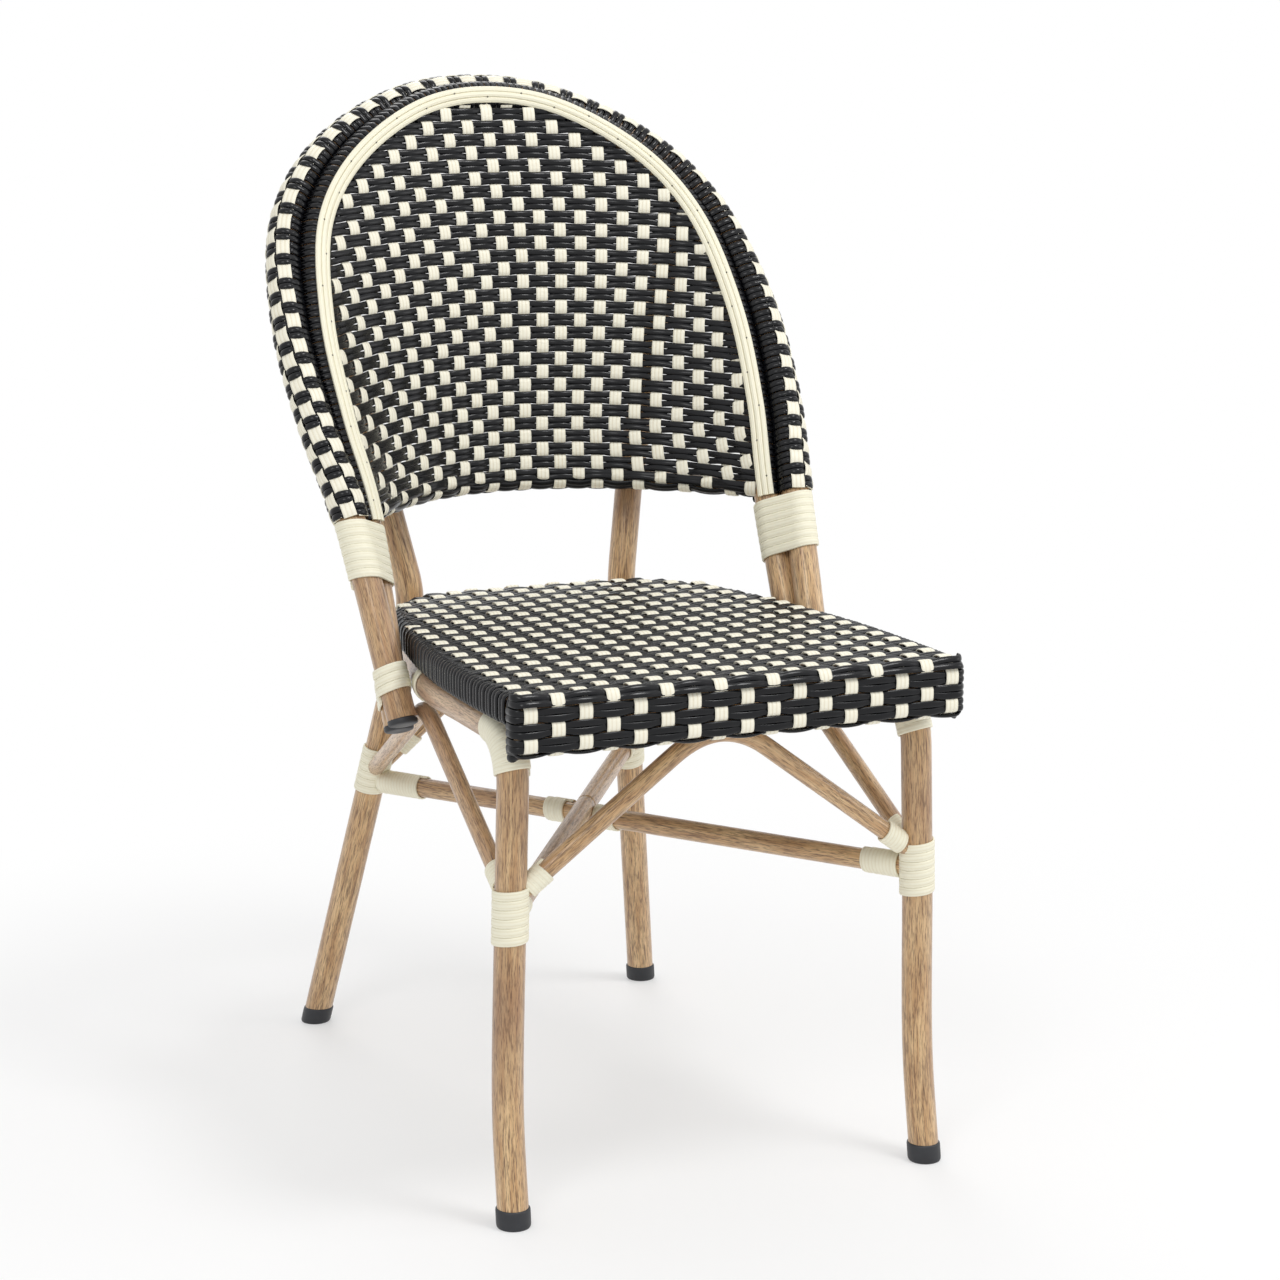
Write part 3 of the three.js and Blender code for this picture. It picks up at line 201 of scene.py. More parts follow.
def between(places, marks, table):
    """Points of a table, read at places between its marks"""
    return np.stack([np.interp(places, marks, table[:, k]) for k in range(3)], -1)

def stepped(run, spacing):
    """The same run with its points evenly spaced"""
    marks = lengths(run)
    count = max(2, round(marks[-1] / spacing) + 1)
    return between(np.linspace(0, marks[-1], count), marks, run)

def mirrored(run, side):
    return np.asarray(run) * (side, 1, 1)

def ring_mesh(name, rings, closed=False):
    """A smooth skin over rings of points, flat at its ends unless the last ring meets the first"""
    count, sides = rings.shape[:2]
    i, j = np.meshgrid(np.arange(count if closed else count - 1), np.arange(sides), indexing="ij")
    after, turned = (i + 1) % count, (j + 1) % sides
    quads = np.stack([i * sides + j, i * sides + turned, after * sides + turned,
                      after * sides + j], -1)
    faces = quads.reshape(-1, 4).tolist()
    if not closed:
        faces.append(list(range(sides))[::-1])
        faces.append(list(range((count - 1) * sides, count * sides)))
    mesh = bpy.data.meshes.new(name)
    mesh.from_pydata(in_place(rings).reshape(-1, 3).tolist(), [], faces)
    mesh.shade_smooth()
    return mesh

def tube_mesh(name, run, diameter, sides, closed):
    """A round tube on a run, which keeps its length and turn for the grain"""
    run = stepped(np.asarray(run, float), RINGS_APART)
    if closed:
        run = run[:-1]
        along = unit(np.roll(run, -1, 0) - np.roll(run, 1, 0))
    else:
        along = unit(np.gradient(run, axis=0))
    side = np.cross(along, (0.31, 0.17, 0.94))
    first = unit(side[0])
    for i, way in enumerate(along):
        first = square_to(first, way)
        side[i] = first
    turn = np.linspace(0, 2 * math.pi, sides, endpoint=False)[:, None]
    arm = np.cos(turn) * side[:, None] + np.sin(turn) * np.cross(along, side)[:, None]
    mesh = ring_mesh(name, run[:, None] + arm * diameter / 2, closed)
    grain = np.zeros((len(run), sides, 3))
    grain[..., :2] = np.hstack([np.cos(turn), np.sin(turn)]) * diameter / 2000
    grain[..., 2] = lengths(run)[:, None] / 1000
    grain += np.random.default_rng(len(name) * 7 + len(run)).uniform(0, 9, 3)
    mesh.attributes.new("grain", "FLOAT_VECTOR", "POINT").data.foreach_set("vector", grain.ravel())
    return mesh

def piece(name, mesh, material, slot, *stands_for):
    part = bpy.data.objects.new(name, mesh)
    bpy.context.collection.objects.link(part)
    if material:
        mesh.materials.append(material)
    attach(part, "root")
    if stands_for:
        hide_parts(*stands_for)

def mixed(tree, factor, first, second):
    """One colour laid over another by a mask"""
    return node(tree, "ShaderNodeMix", {"Factor": factor, 6: first, 7: second},
                data_type="RGBA")[2]

def ranged(tree, value, low, high, to_low=0.0, to_high=1.0):
    return node(tree, "ShaderNodeMapRange", {"Value": value, "From Min": low, "From Max": high,
                                             "To Min": to_low, "To Max": to_high})[0]

def noise(tree, place, scale, detail, roughness=0.5):
    return node(tree, "ShaderNodeTexNoise", {"Vector": place, "Scale": scale, "Detail": detail,
                                             "Roughness": roughness})["Fac"]

def bumped(tree, height, strength, distance):
    return node(tree, "ShaderNodeBump", {"Height": height, "Strength": strength,
                                         "Distance": distance})["Normal"]

# Short dark streaks over hair lines, which run with the tube, on a tone that turns ruddy, and a
# painted reflection that pales the edges
PALE, CANE, RUDDY, INK, PAINTED_SHEEN = (colour(code) for code in ("E4C190", "C29868", "926848", "54351F",
                                                           "C8B3A6"))
painted, tree, shade = new_material("painted_cane")
grain = node(tree, "ShaderNodeAttribute", attribute_name="grain")["Vector"]
broad, streak, hair = (
    noise(tree, node(tree, "ShaderNodeVectorMath", {0: grain, 1: (across, across, along)},
                     operation="MULTIPLY")[0], 1.0, detail, 0.62)
    for across, along, detail in ((210, 16, 2), (560, 42, 3), (1150, 95, 2)))
bright = mixed(tree, ranged(tree, broad, 0.36, 0.64), CANE, PALE)
ruddy = ranged(tree, noise(tree, place_of(tree), 7.5, 1), 0.52, 0.72, 0, 0.6)
dark = maths(tree, "MAXIMUM", ranged(tree, streak, 0.52, 0.7),
             ranged(tree, hair, 0.49, 0.66, 0, 0.85))
inked = mixed(tree, maths(tree, "MULTIPLY", dark, 0.9), mixed(tree, ruddy, bright, RUDDY), INK)
# Painted reflection: the colour pales to grey-pink where the tube is seen edge-on, as the white
# room would show in it
edge_on = node(tree, "ShaderNodeLayerWeight", {"Blend": 0.3})["Facing"]
tone = mixed(tree, maths(tree, "MULTIPLY", edge_on, 0.5), inked, PAINTED_SHEEN)
filled(shade, {"Base Color": tone, "Roughness": ranged(tree, dark, 0, 1, 0.36, 0.52),
               "Normal": bumped(tree, hair, 0.25, 0.0004), "Coat Weight": 0.35,
               "Coat Roughness": 0.22})

def tube(name, mesh_name, run, diameter, sides=28, closed=False, stands_for=None):
    """A painted tube in place of a solid, which has the mesh's name unless another is given"""
    mesh = tube_mesh(mesh_name, run, diameter, sides, closed)
    piece(name, mesh, painted, "tube_brown", stands_for or mesh_name)

def rear_leg_at(height):
    share = height / REAR_BEND_HEIGHT
    x, y = (low + (high - low) * share for low, high in zip(REAR_FOOT, REAR_BEND))
    return np.array([x, y, height])

def front_leg_run():
    """Up the leg, round the corner under the seat, and back as the side rail to the rear leg"""
    x, y, z = FRONT_LEG[-1]
    turn = np.linspace(0, math.pi / 2, 14)
    corner = np.stack([x - BEND_INWARD * turn / turn[-1], y + FRONT_BEND * (1 - np.cos(turn)),
                       z + FRONT_BEND * np.sin(turn)], -1)
    middle = (SIDE_RAIL_X, (corner[-1][1] + SIDE_RAIL[0][1]) / 2)
    rail = bent([corner[-1]] + [(*spot, RAIL_HEIGHT) for spot in [middle] + SIDE_RAIL]
                + [rear_leg_at(RAIL_HEIGHT)])
    return np.vstack([bent(FRONT_LEG)[:-1], corner, rail[1:]])

half_hoop = [(HOOP_WIDTH * wide, HOOP_END_Y + HOOP_SETBACK * back, HOOP_END_Z + HOOP_RISE * high)
             for high, wide, back in HOOP_SHARES]
hoop_run = bent([(-x, y, z) for x, y, z in half_hoop[:0:-1]] + half_hoop, 60)
hoop_marks = lengths(hoop_run)
HOOP_HALF = hoop_marks[-1] / 2
HOOP_LEAN = math.atan2(HOOP_SETBACK, HOOP_RISE)

def hoop_frame(share):
    """Middle of the inner hoop at a share of its half length, and the ways along, forward, out"""
    reach = (np.atleast_1d(share) + 1) * HOOP_HALF
    before, after = (between(np.clip(reach + step, 0, 2 * HOOP_HALF), hoop_marks, hoop_run)
                     for step in (-2, 2))
    along = unit(after - before)
    front = square_to(np.array([0, -math.cos(HOOP_LEAN), math.sin(HOOP_LEAN)]), along)
    return between(reach, hoop_marks, hoop_run), along, front, np.cross(front, along)

def twist_at(share):
    """Where the outer hoop stands round the inner one, in degrees from outward to forward"""
    ease = (np.hypot(share, TWIST_EASE) - TWIST_EASE) / (math.hypot(1, TWIST_EASE) - TWIST_EASE)
    return TWIST_TOP + TWIST_ROUND * ease

def pair_frame(share):
    """Middles of both hoops, and the ways along, to the outer hoop and square to both"""
    middle, along, front, out = hoop_frame(share)
    twist = np.radians(twist_at(np.atleast_1d(share)))[:, None]
    to_outer = out * np.cos(twist) + front * np.sin(twist)
    square = front * np.cos(twist) - out * np.sin(twist)
    return middle, middle + HOOP_GAP * to_outer, along, to_outer, square

def hoop_share_at(height):
    shares = np.linspace(0, 1, 4001)
    return float(np.interp(-height, -hoop_frame(shares)[0][:, 2], shares))

def rear_leg_run(top):
    """Up the raked leg, bent at the seat, and on behind the panel to the rim"""
    post = np.array(POST)
    lower = cornered([rear_leg_at(LEG_END), rear_leg_at(REAR_BEND_HEIGHT), post], POST_BEND)
    bow = np.array([(post[0] + top[0]) / 2, POST_BOW_Y, (post[2] + top[2]) / 2])
    return np.vstack([lower, curved(post, bow, top + (0, 10, 0), np.linspace(0, 1, 20)[1:, None])])

inner_run, outer_run = pair_frame(np.linspace(-1, 1, 361))[:2]
front_leg = front_leg_run()
rear_leg = rear_leg_run(pair_frame(hoop_share_at(POST_TOP))[1][0])
for name, side in SIDES:
    tube(f"front_leg_tube_{name}", f"front_leg_{name}", mirrored(front_leg, side), TUBE)
    tube(f"rear_leg_tube_{name}", f"rear_leg_{name}", mirrored(rear_leg, side), TUBE)
tube("inner_hoop_tube", "inner_hoop", inner_run, TUBE, stands_for="back_inner_hoop")
tube("outer_hoop_tube", "outer_hoop", outer_run, TUBE, stands_for="back_outer_hoop")

# Braces: thinner tubes of the same finish. Arches under the seat are bent to a round top, rails lie
# across below the seat, and the stretchers cross near the floor, one through and one in two halves.

ARCH, STRETCHER, FRONT_RAIL, REAR_RAIL = 15.5, 18.0, 16, 18
FRONT_ARCH_FOOT, FRONT_ARCH_PEAK, FRONT_ARCH_BEND = 269, 406.7, 70
REAR_ARCH_FOOT, REAR_ARCH_PEAK, REAR_ARCH_BEND = 262, 389.7, 60
SIDE_ARCH_FEET, SIDE_ARCH_PEAK, SIDE_ARCH_BEND = (268.5, 264), (176, 68, 384), 50
STRETCHER_FRONT, THROUGH_REAR, HALF_REAR = 257, 254, 267
BRACE_CLEARANCE = 0.3

def front_leg_at(height):
    row = np.argmax(front_leg[:, 2] > height)
    low, high = front_leg[row - 1], front_leg[row]
    return low + (high - low) * (height - low[2]) / (high[2] - low[2])

def arch_between(foot, peak_y, peak_z, bend):
    return cornered([mirrored(foot, -1), (0, peak_y, peak_z), foot], bend)

def at_middle(line):
    """Where a straight brace crosses the chair's middle plane"""
    return line[0] + (line[1] - line[0]) * line[0][0] / (line[0][0] - line[1][0])

front_foot = front_leg_at(FRONT_ARCH_FOOT)
front_arch = arch_between(front_foot, front_foot[1], FRONT_ARCH_PEAK, FRONT_ARCH_BEND)
rear_arch = arch_between(rear_leg_at(REAR_ARCH_FOOT), rear_leg_at(REAR_ARCH_PEAK)[1],
                         REAR_ARCH_PEAK, REAR_ARCH_BEND)
side_arch = cornered([front_leg_at(SIDE_ARCH_FEET[0]), SIDE_ARCH_PEAK,
                      rear_leg_at(SIDE_ARCH_FEET[1])], SIDE_ARCH_BEND)
stretcher_end = front_leg_at(STRETCHER_FRONT)
through = np.array([mirrored(rear_leg_at(THROUGH_REAR), -1), stretcher_end])
halves = np.array([mirrored(stretcher_end, -1), rear_leg_at(HALF_REAR)])
crossing, meeting = at_middle(through), at_middle(halves)
rail_z = front_arch[:, 2].max() + ARCH / 2 + BRACE_CLEARANCE + FRONT_RAIL / 2
front_rail_end = np.array([*FRONT_LEG[-1][:2], rail_z])
rear_rail_end = rear_leg_at(rear_arch[:, 2].max() + ARCH / 2 + BRACE_CLEARANCE + REAR_RAIL / 2)
for name, run, diameter in (
        ("front_arch", front_arch, ARCH), ("rear_arch", rear_arch, ARCH),
        ("stretcher_through", through, STRETCHER),
        ("stretcher_half_front", np.array([halves[0], meeting]), STRETCHER),
        ("stretcher_half_rear", np.array([meeting, halves[1]]), STRETCHER),
        ("side_arch_left", mirrored(side_arch, -1), ARCH), ("side_arch_right", side_arch, ARCH),
        ("seat_front_rail", [mirrored(front_rail_end, -1), front_rail_end], FRONT_RAIL),
        ("seat_rear_rail", [mirrored(rear_rail_end, -1), rear_rail_end], REAR_RAIL)):
    tube(f"{name}_tube", name, run, diameter, 22)

# Feet and plugs: black moulded plastic, pushed over the leg ends and into the lower ends of both
# hoops. The cups are flat below, where they stand, and every rim is rounded off.

# Each turned piece as radius and height, from below or from inside the tube
CUP = [(12.6, 0), (13.5, 0.4), (14.1, 1.4), (14.35, 2.8), (14.4, 9), (14.4, 14.2), (14.2, 15.2),
       (13.8, 15.8), (13.2, 16)]
BUNG = [(11, -1), (12.6, 0.3), (13, 0.7), (13, 3.2), (12.7, 4.2), (11.9, 4.9), (10.6, 5.3),
        (6, 5.3)]

plastic, tree, shade = new_material("black_plastic")
pebble, scuff = noise(tree, place_of(tree), 900, 2), noise(tree, place_of(tree), 60, 5)
filled(shade, {"Base Color": mixed(tree, scuff, colour("1A1B1E"), colour("34363B")),
               "Roughness": ranged(tree, scuff, 0.35, 0.7, 0.38, 0.6),
               "Normal": bumped(tree, pebble, 0.2, 0.0003)})

def turned_mesh(name, profile, base, way, first, second, sides=40):
    """A turned piece: rings of a profile's radii, each at its height on a way from the base"""
    turn = np.linspace(0, 2 * math.pi, sides, endpoint=False)[:, None]
    return ring_mesh(name, np.stack([base + way * height + radius * (np.cos(turn) * first
                                                                     + np.sin(turn) * second)
                                     for radius, height in profile]))

for name, side in SIDES:
    for end, run in (("front", front_leg), ("rear", rear_leg)):
        foot, above = mirrored(run[0], side), mirrored(run[1], side)
        slope = (above - foot) / (above - foot)[2]
        cup = turned_mesh(f"{end}_foot_{name}", CUP, foot - slope * foot[2], slope,
                          np.array((1, 0, 0)), np.array((0, 1, 0)))
        piece(f"{end}_foot_cup_{name}", cup, plastic, "end_plastic", f"{end}_glide_{name}")
    inner, outer, along, to_outer, _ = (value[0] for value in pair_frame(side))
    for hoop, middle in (("inner", inner), ("outer", outer)):
        bung = turned_mesh(f"{hoop}_bung_{name}", BUNG, middle, along * side, to_outer,
                           np.cross(along * side, to_outer))
        piece(f"{hoop}_hoop_bung_{name}", bung, plastic, "end_plastic", f"{hoop}_hoop_plug_{name}")

# Strands: everything woven or wound is a flat extruded plastic strand, black or cream. One tree
# lays a strand along each drawn path, lifts it where it rides over another, and gives it its width,
# thickness and finish.

def tree_of(name, kind, inputs, outputs):
    """A node tree with named inputs and outputs, each with the kind of its socket"""
    tree = bpy.data.node_groups.new(name, kind)
    for way, sockets in (("INPUT", inputs), ("OUTPUT", outputs)):
        for label, socket in sockets.items():
            tree.interface.new_socket(name=label, in_out=way, socket_type=f"NodeSocket{socket}")
    return tree, node(tree, "NodeGroupInput"), tree.nodes.new("NodeGroupOutput")

def covered(tree, geometry, finish):
    """Plain mesh in its material, as every tree has to end"""
    real = node(tree, "GeometryNodeRealizeInstances", {"Geometry": geometry})
    return node(tree, "GeometryNodeSetMaterial", {"Geometry": real[0], "Material": finish})[0]

def strand_tree():
    tree, given, out = tree_of(
        "laid_strand", "GeometryNodeTree",
        {"Paths": "Geometry", "Width": "Float", "Thickness": "Float", "Rise": "Float",
         "Spread": "Float", "Squareness": "Float", "Facets": "Int", "Finish": "Material"},
        {"Strands": "Geometry"})

    def named(label, kind):
        return node(tree, "GeometryNodeInputNamedAttribute", {"Name": label},
                    data_type=kind)["Attribute"]

    def scaled(vector, factor):
        return node(tree, "ShaderNodeVectorMath", {0: vector, "Scale": factor},
                    operation="SCALE")[0]

    def marked(geometry, label, value):
        return node(tree, "GeometryNodeStoreNamedAttribute",
                    {"Geometry": geometry, "Name": label, "Value": value}, data_type="FLOAT",
                    domain="POINT")[0]

    def squared(value, size):
        power = maths(tree, "POWER", maths(tree, "ABSOLUTE", value), given["Squareness"])
        half = maths(tree, "MULTIPLY", size, 0.5)
        signed = maths(tree, "MULTIPLY", power, maths(tree, "SIGN", value))
        return maths(tree, "MULTIPLY", signed, half)

    facing = named("facing", "FLOAT_VECTOR")
    lift = scaled(facing, maths(tree, "MULTIPLY", named("wave", "FLOAT"), given["Rise"]))
    shift = scaled(named("aside", "FLOAT_VECTOR"), given["Spread"])
    moved = node(tree, "ShaderNodeVectorMath", {0: lift, 1: shift}, operation="ADD")
    placed = node(tree, "GeometryNodeSetPosition", {"Geometry": given["Paths"],
                                                    "Offset": moved[0]})
    line = node(tree, "GeometryNodeMeshToCurve", {"Mesh": placed[0]})
    faced = node(tree, "GeometryNodeSetCurveNormal", {"Curve": line[0], "Normal": facing},
                 mode="FREE")
    far = node(tree, "GeometryNodeSplineParameter")["Length"]
    ring = node(tree, "GeometryNodeCurvePrimitiveCircle", {"Radius": 1.0,
                                                           "Resolution": given["Facets"]})
    spot = node(tree, "ShaderNodeSeparateXYZ", {0: node(tree, "GeometryNodeInputPosition")[0]})
    flat = node(tree, "ShaderNodeCombineXYZ", {"X": squared(spot["X"], given["Thickness"]),
                                               "Y": squared(spot["Y"], given["Width"])})
    section = node(tree, "GeometryNodeSetPosition",
                   {"Geometry": marked(ring[0], "across", spot["Y"]), "Position": flat[0]})
    laid = node(tree, "GeometryNodeCurveToMesh", {"Curve": marked(faced[0], "run", far),
                                                  "Profile Curve": section[0],
                                                  "Fill Caps": True})
    smooth = node(tree, "GeometryNodeSetShadeSmooth", {"Geometry": laid[0]})
    filled(out, {"Strands": covered(tree, smooth[0], given["Finish"])})
    return tree

STRANDS = strand_tree()

def grown(name, mesh, tree, values):
    """The plain mesh that a tree makes on a mesh, with the tree's inputs set by name"""
    host = bpy.data.objects.new(name, mesh)
    bpy.context.collection.objects.link(host)
    work = host.modifiers.new("tree", "NODES")
    work.node_group = tree
    for item in tree.interface.items_tree:
        if item.in_out == "INPUT" and item.name in values:
            work[item.identifier] = values[item.name]
    view = bpy.context.evaluated_depsgraph_get()
    made = bpy.data.meshes.new_from_object(host.evaluated_get(view), preserve_all_data_layers=True,
                                           depsgraph=view)
    made.name = name
    bpy.data.objects.remove(host)
    return made

def laid_strands(name, paths, finish, slot, stands_for, **sizes):
    """A piece of strands; a path is its points, the ways they face, any wave and any side step"""
    points, facing, wave, aside, edges = [], [], [], [], []
    start = 0
    for path in paths:
        line, way, ride, step = (*path, 0, 0)[:4]
        along = unit(np.gradient(line, axis=0))
        way = square_to(way, along)
        flat = np.zeros(len(line))
        points.append(in_place(line))
        facing.append(way)
        wave.append(flat + ride)
        aside.append(np.cross(along, way) * (flat + step)[:, None])
        edges += [(start + k, start + k + 1) for k in range(len(line) - 1)]
        start += len(line)
    mesh = bpy.data.meshes.new(name)
    mesh.from_pydata(np.vstack(points).tolist(), edges, [])
    for label, kind, key, rows in (("facing", "FLOAT_VECTOR", "vector", facing),
                                   ("aside", "FLOAT_VECTOR", "vector", aside),
                                   ("wave", "FLOAT", "value", wave)):
        held = mesh.attributes.new(label, kind, "POINT")
        held.data.foreach_set(key, np.concatenate(rows).ravel())
    values = {label.capitalize(): value for label, value in sizes.items()}
    piece(name, grown(name, mesh, STRANDS, {**values, "Finish": finish}), None, slot, stands_for)

def strand_surface():
    """Fine grooves along a strand, darker in patches at their bottoms, on a tone that shifts a
    little
    """
    group, given, out = tree_of(
        "strand_surface", "ShaderNodeTree",
        {"Body": "Color", "Groove": "Color", "Grooves": "Float", "Groove Darkening": "Float"},
        {"Colour": "Color", "Height": "Float", "Uneven": "Float"})
    across, run = (node(group, "ShaderNodeAttribute", attribute_name=label)["Fac"]
                   for label in ("across", "run"))
    lines = maths(group, "MULTIPLY", maths(group, "MULTIPLY", across, given["Grooves"]), math.pi)
    ridge = maths(group, "MULTIPLY_ADD", maths(group, "COSINE", lines), 0.5, 0.5)
    spot = node(group, "ShaderNodeCombineXYZ", {"X": maths(group, "MULTIPLY", across, 6),
                                                "Y": maths(group, "MULTIPLY", run, 90)})
    fleck, drift = noise(group, spot[0], 1.0, 3), noise(group, place_of(group), 38, 4)
    # The bottoms of the grooves take the darker groove colour, in patches set by the drift noise
    low = maths(group, "POWER", maths(group, "SUBTRACT", 1.0, ridge), 3.0)
    groove_darkening = maths(group, "MULTIPLY", maths(group, "MULTIPLY", low, drift), given["Groove Darkening"])
    filled(out, {"Colour": mixed(group, groove_darkening, given["Body"], given["Groove"]),
                 "Height": maths(group, "MULTIPLY_ADD", fleck, 0.5, ridge), "Uneven": drift})
    return group

STRAND_SURFACE = strand_surface()

def strand_finish(name, body, groove, grooves, depth, roughness, groove_darkening, shine):
    """Extruded plastic in one colour, with its grooves' colour, number and depth"""
    material, tree, shade = new_material(name)
    surface = node(tree, "ShaderNodeGroup",
                   {"Body": colour(body), "Groove": colour(groove), "Grooves": grooves,
                    "Groove Darkening": groove_darkening}, node_tree=STRAND_SURFACE)
    filled(shade, {"Base Color": surface["Colour"], "Specular IOR Level": shine,
                   "Roughness": ranged(tree, surface["Uneven"], 0, 1, roughness - 0.06,
                                       roughness + 0.1),
                   "Normal": bumped(tree, surface["Height"], depth, 0.0004)})
    return material

black = strand_finish("black_strand", "0A0B0F", "14161B", 0, 0.06, 0.22, 0.3, 0.3)
cream = strand_finish("cream_warp", "F8F4E2", "D2C29C", 4, 0.3, 0.45, 0.7, 0.4)
wrap_cream = strand_finish("cream_wrap", "F6F2DC", "DCCFAA", 3, 0.3, 0.45, 0.6, 0.4)

# Back panel: a plain weave held in the inner hoop and rolled under a thin bottom rail. Flat cream
# warps stand 16 mm apart below and 21 mm at the top, closer at the right, as woven by hand. A pair
# of black strands goes over and under them in every row, and the rows sag a little at both sides.

ROW_PITCH, LANE, ROLL = 12.2, 2.9, 8.8
FIRST_ROW, RAIL_LEVEL, RISE = 4.5, 540.3, 0.975
LEVELS = (-40, 50, 126, 200, 260, 345)
WARP_MIDDLE = (-12.0, -6.0, -0.5, 2.5, 2.0, -2.0)
WARP_PITCH = (16.4, 16.3, 17.2, 18.5, 19.7, 20.9)
ROW_SAG, CROWDING, CROWDED_FROM = 1.8e-4, 0.0022, 130
BACK_WRAP_TOP, WRAP_CLEARANCE = 526, 3.7
PIPING_TURN, PIPING_DROP, SKIN_BEHIND, SKIN_OUT = 100, 16, 37, 14.8
BOTTOM_RAIL, BOTTOM_RAIL_HALF, BOTTOM_RAIL_BACK = 14, 193, 303
BOTTOM_RAIL_BOW, BOTTOM_RAIL_HOOK, RAIL_IN_HOOP = 123, 20, 0.985
ROW_END, ROW_EASE, PAIR_SPREAD = 4, 7, 0.45
FACING_STEP = 1.5
skin_end = hoop_share_at(BACK_WRAP_TOP) - WRAP_CLEARANCE / HOOP_HALF
corner_share = hoop_share_at(RAIL_LEVEL + 3)

def rail_at(u):
    """The bottom rail, from its left end at -1 to its right end at 1"""
    w = np.asarray(u) * RAIL_IN_HOOP
    back = BOTTOM_RAIL_BACK - BOTTOM_RAIL_BOW * w ** 2 - BOTTOM_RAIL_HOOK * w ** 4
    return np.stack([BOTTOM_RAIL_HALF * w, back, RAIL_LEVEL + 0 * w], -1)

def piping_turn(share):
    """The way from the hoop's middle to the piping's, in degrees from outward to forward"""
    return PIPING_TURN + PIPING_DROP * (np.abs(share) / skin_end) ** 4

def round_tube(middle, first, second, degrees, radius):
    """Points round a tube's middle, counted from one way to another, and the way each faces"""
    turn = np.radians(degrees)[..., None]
    arm = np.cos(turn) * first + np.sin(turn) * second
    return middle + arm * radius, arm

def edge_at(u):
    """Where the skin ends, on the front of the inner hoop beside the piping"""
    share = np.asarray(u) * corner_share
    middle, _, front, out = hoop_frame(share)
    return round_tube(middle, out, front, piping_turn(share) + SKIN_BEHIND, SKIN_OUT)[0]

u_line = np.linspace(-1, 1, 801)
edge_line, rail_line = edge_at(u_line), rail_at(u_line)
rail_way = unit(np.gradient(rail_line, axis=0))
rail_front = unit(np.cross(rail_way, edge_line - rail_line))
rail_down = np.cross(rail_way, rail_front)
skin_line = rail_line + rail_front * ROLL
right_edge, right_u = edge_line[400:], u_line[400:]
panel_top = (right_edge[0, 2] - RAIL_LEVEL) / RISE

def panel_point(x, t):
    """A point of the skin at a distance across and up it; below zero it rolls round the rail"""
    x, t = np.broadcast_arrays(np.asarray(x, float), np.asarray(t, float))
    z = RAIL_LEVEL + RISE * np.clip(t, 0, None)
    high = np.interp(-z, -right_edge[:, 2], right_u)
    low = -high
    for _ in range(30):
        u = (low + high) / 2
        a, b = between(u, u_line, skin_line), between(u, u_line, edge_line)
        v = np.clip((z - a[..., 2]) / np.maximum(b[..., 2] - a[..., 2], 0.5), 0, 1)
        past = a[..., 0] + v * (b[..., 0] - a[..., 0]) > x
        high, low = np.where(past, u, high), np.where(past, low, u)
    spot = a + v[..., None] * (b - a)
    turn = np.clip(-t, 0, None)[..., None] / ROLL
    rail, front, down = (between(u, u_line, line) for line in (rail_line, rail_front, rail_down))
    rolled = rail + ROLL * (front * np.cos(turn) + down * np.sin(turn))
    return np.where(t[..., None] < 0, rolled, spot)

def panel_facing(x, t):
    wide = panel_point(x + FACING_STEP, t) - panel_point(x - FACING_STEP, t)
    tall = panel_point(x, t + FACING_STEP) - panel_point(x, t - FACING_STEP)
    return unit(np.cross(wide, tall))

def over_under(phase, softness=0.75):
    """A strand's wave: a plain one at a softness of one, and with longer crests below that"""
    c = np.cos(phase)
    return np.sign(c) * np.abs(c) ** softness

def row_half_width(t):
    level = np.maximum(RAIL_LEVEL + RISE * t, right_edge[-1, 2] + 1)
    return np.interp(-level, -right_edge[:, 2], right_edge[:, 0])

def crowded(x):
    """The warps stand closer together near the right side"""
    return x - CROWDING * np.clip(x - CROWDED_FROM, 0, None) ** 2

def warp_count(x, t):
    """How many warps a point lies from the middle one"""
    even = np.linspace(-240, 240, 481)
    x = np.interp(x, crowded(even), even)
    return (x - np.interp(t, LEVELS, WARP_MIDDLE)) / np.interp(t, LEVELS, WARP_PITCH)

def row_count(x, t):
    return (t - FIRST_ROW + ROW_SAG * x ** 2) / ROW_PITCH

rows, warps = [], []
for j in range(-3, 31):
    for lane in (-1, 1):
        level = FIRST_ROW + ROW_PITCH * j + LANE * lane
        if level > panel_top - 2:
            continue
        half = row_half_width(level - ROW_SAG * row_half_width(level) ** 2) - ROW_END * (level < 0)
        x = np.linspace(-half, half, max(8, int(half * 2 / 3)))
        t = level - ROW_SAG * x ** 2
        ease = np.clip((half - np.abs(x)) / ROW_EASE, 0, 1)
        ride = over_under(math.pi * (warp_count(x, t) + j + 1)) * ease
        rows.append((panel_point(x, t), panel_facing(x, t), ride, lane * PAIR_SPREAD * ride))
for i in range(-11, 13):
    t = np.arange(FIRST_ROW - 3.4 * ROW_PITCH, panel_top, 2.3)
    x = crowded(np.interp(t, LEVELS, WARP_MIDDLE) + i * np.interp(t, LEVELS, WARP_PITCH))
    inside = np.abs(x) < row_half_width(t) - 2
    if inside.sum() < 12:
        continue
    x, t = x[inside], t[inside]
    ride = over_under(math.pi * (i + row_count(x, t)), 0.35)
    warps.append((panel_point(x, t), panel_facing(x, t), ride))
laid_strands("back_weft", rows, black, "weave_black", "back_panel", width=0.006, thickness=0.003,
             rise=0.0012, spread=0.001, squareness=1.0, facets=12)

def flat_warp(name, paths, stands_for, width, rise):
    laid_strands(name, paths, cream, "weave_cream", stands_for, width=width, thickness=0.0014,
                 rise=rise, squareness=0.5, facets=10)

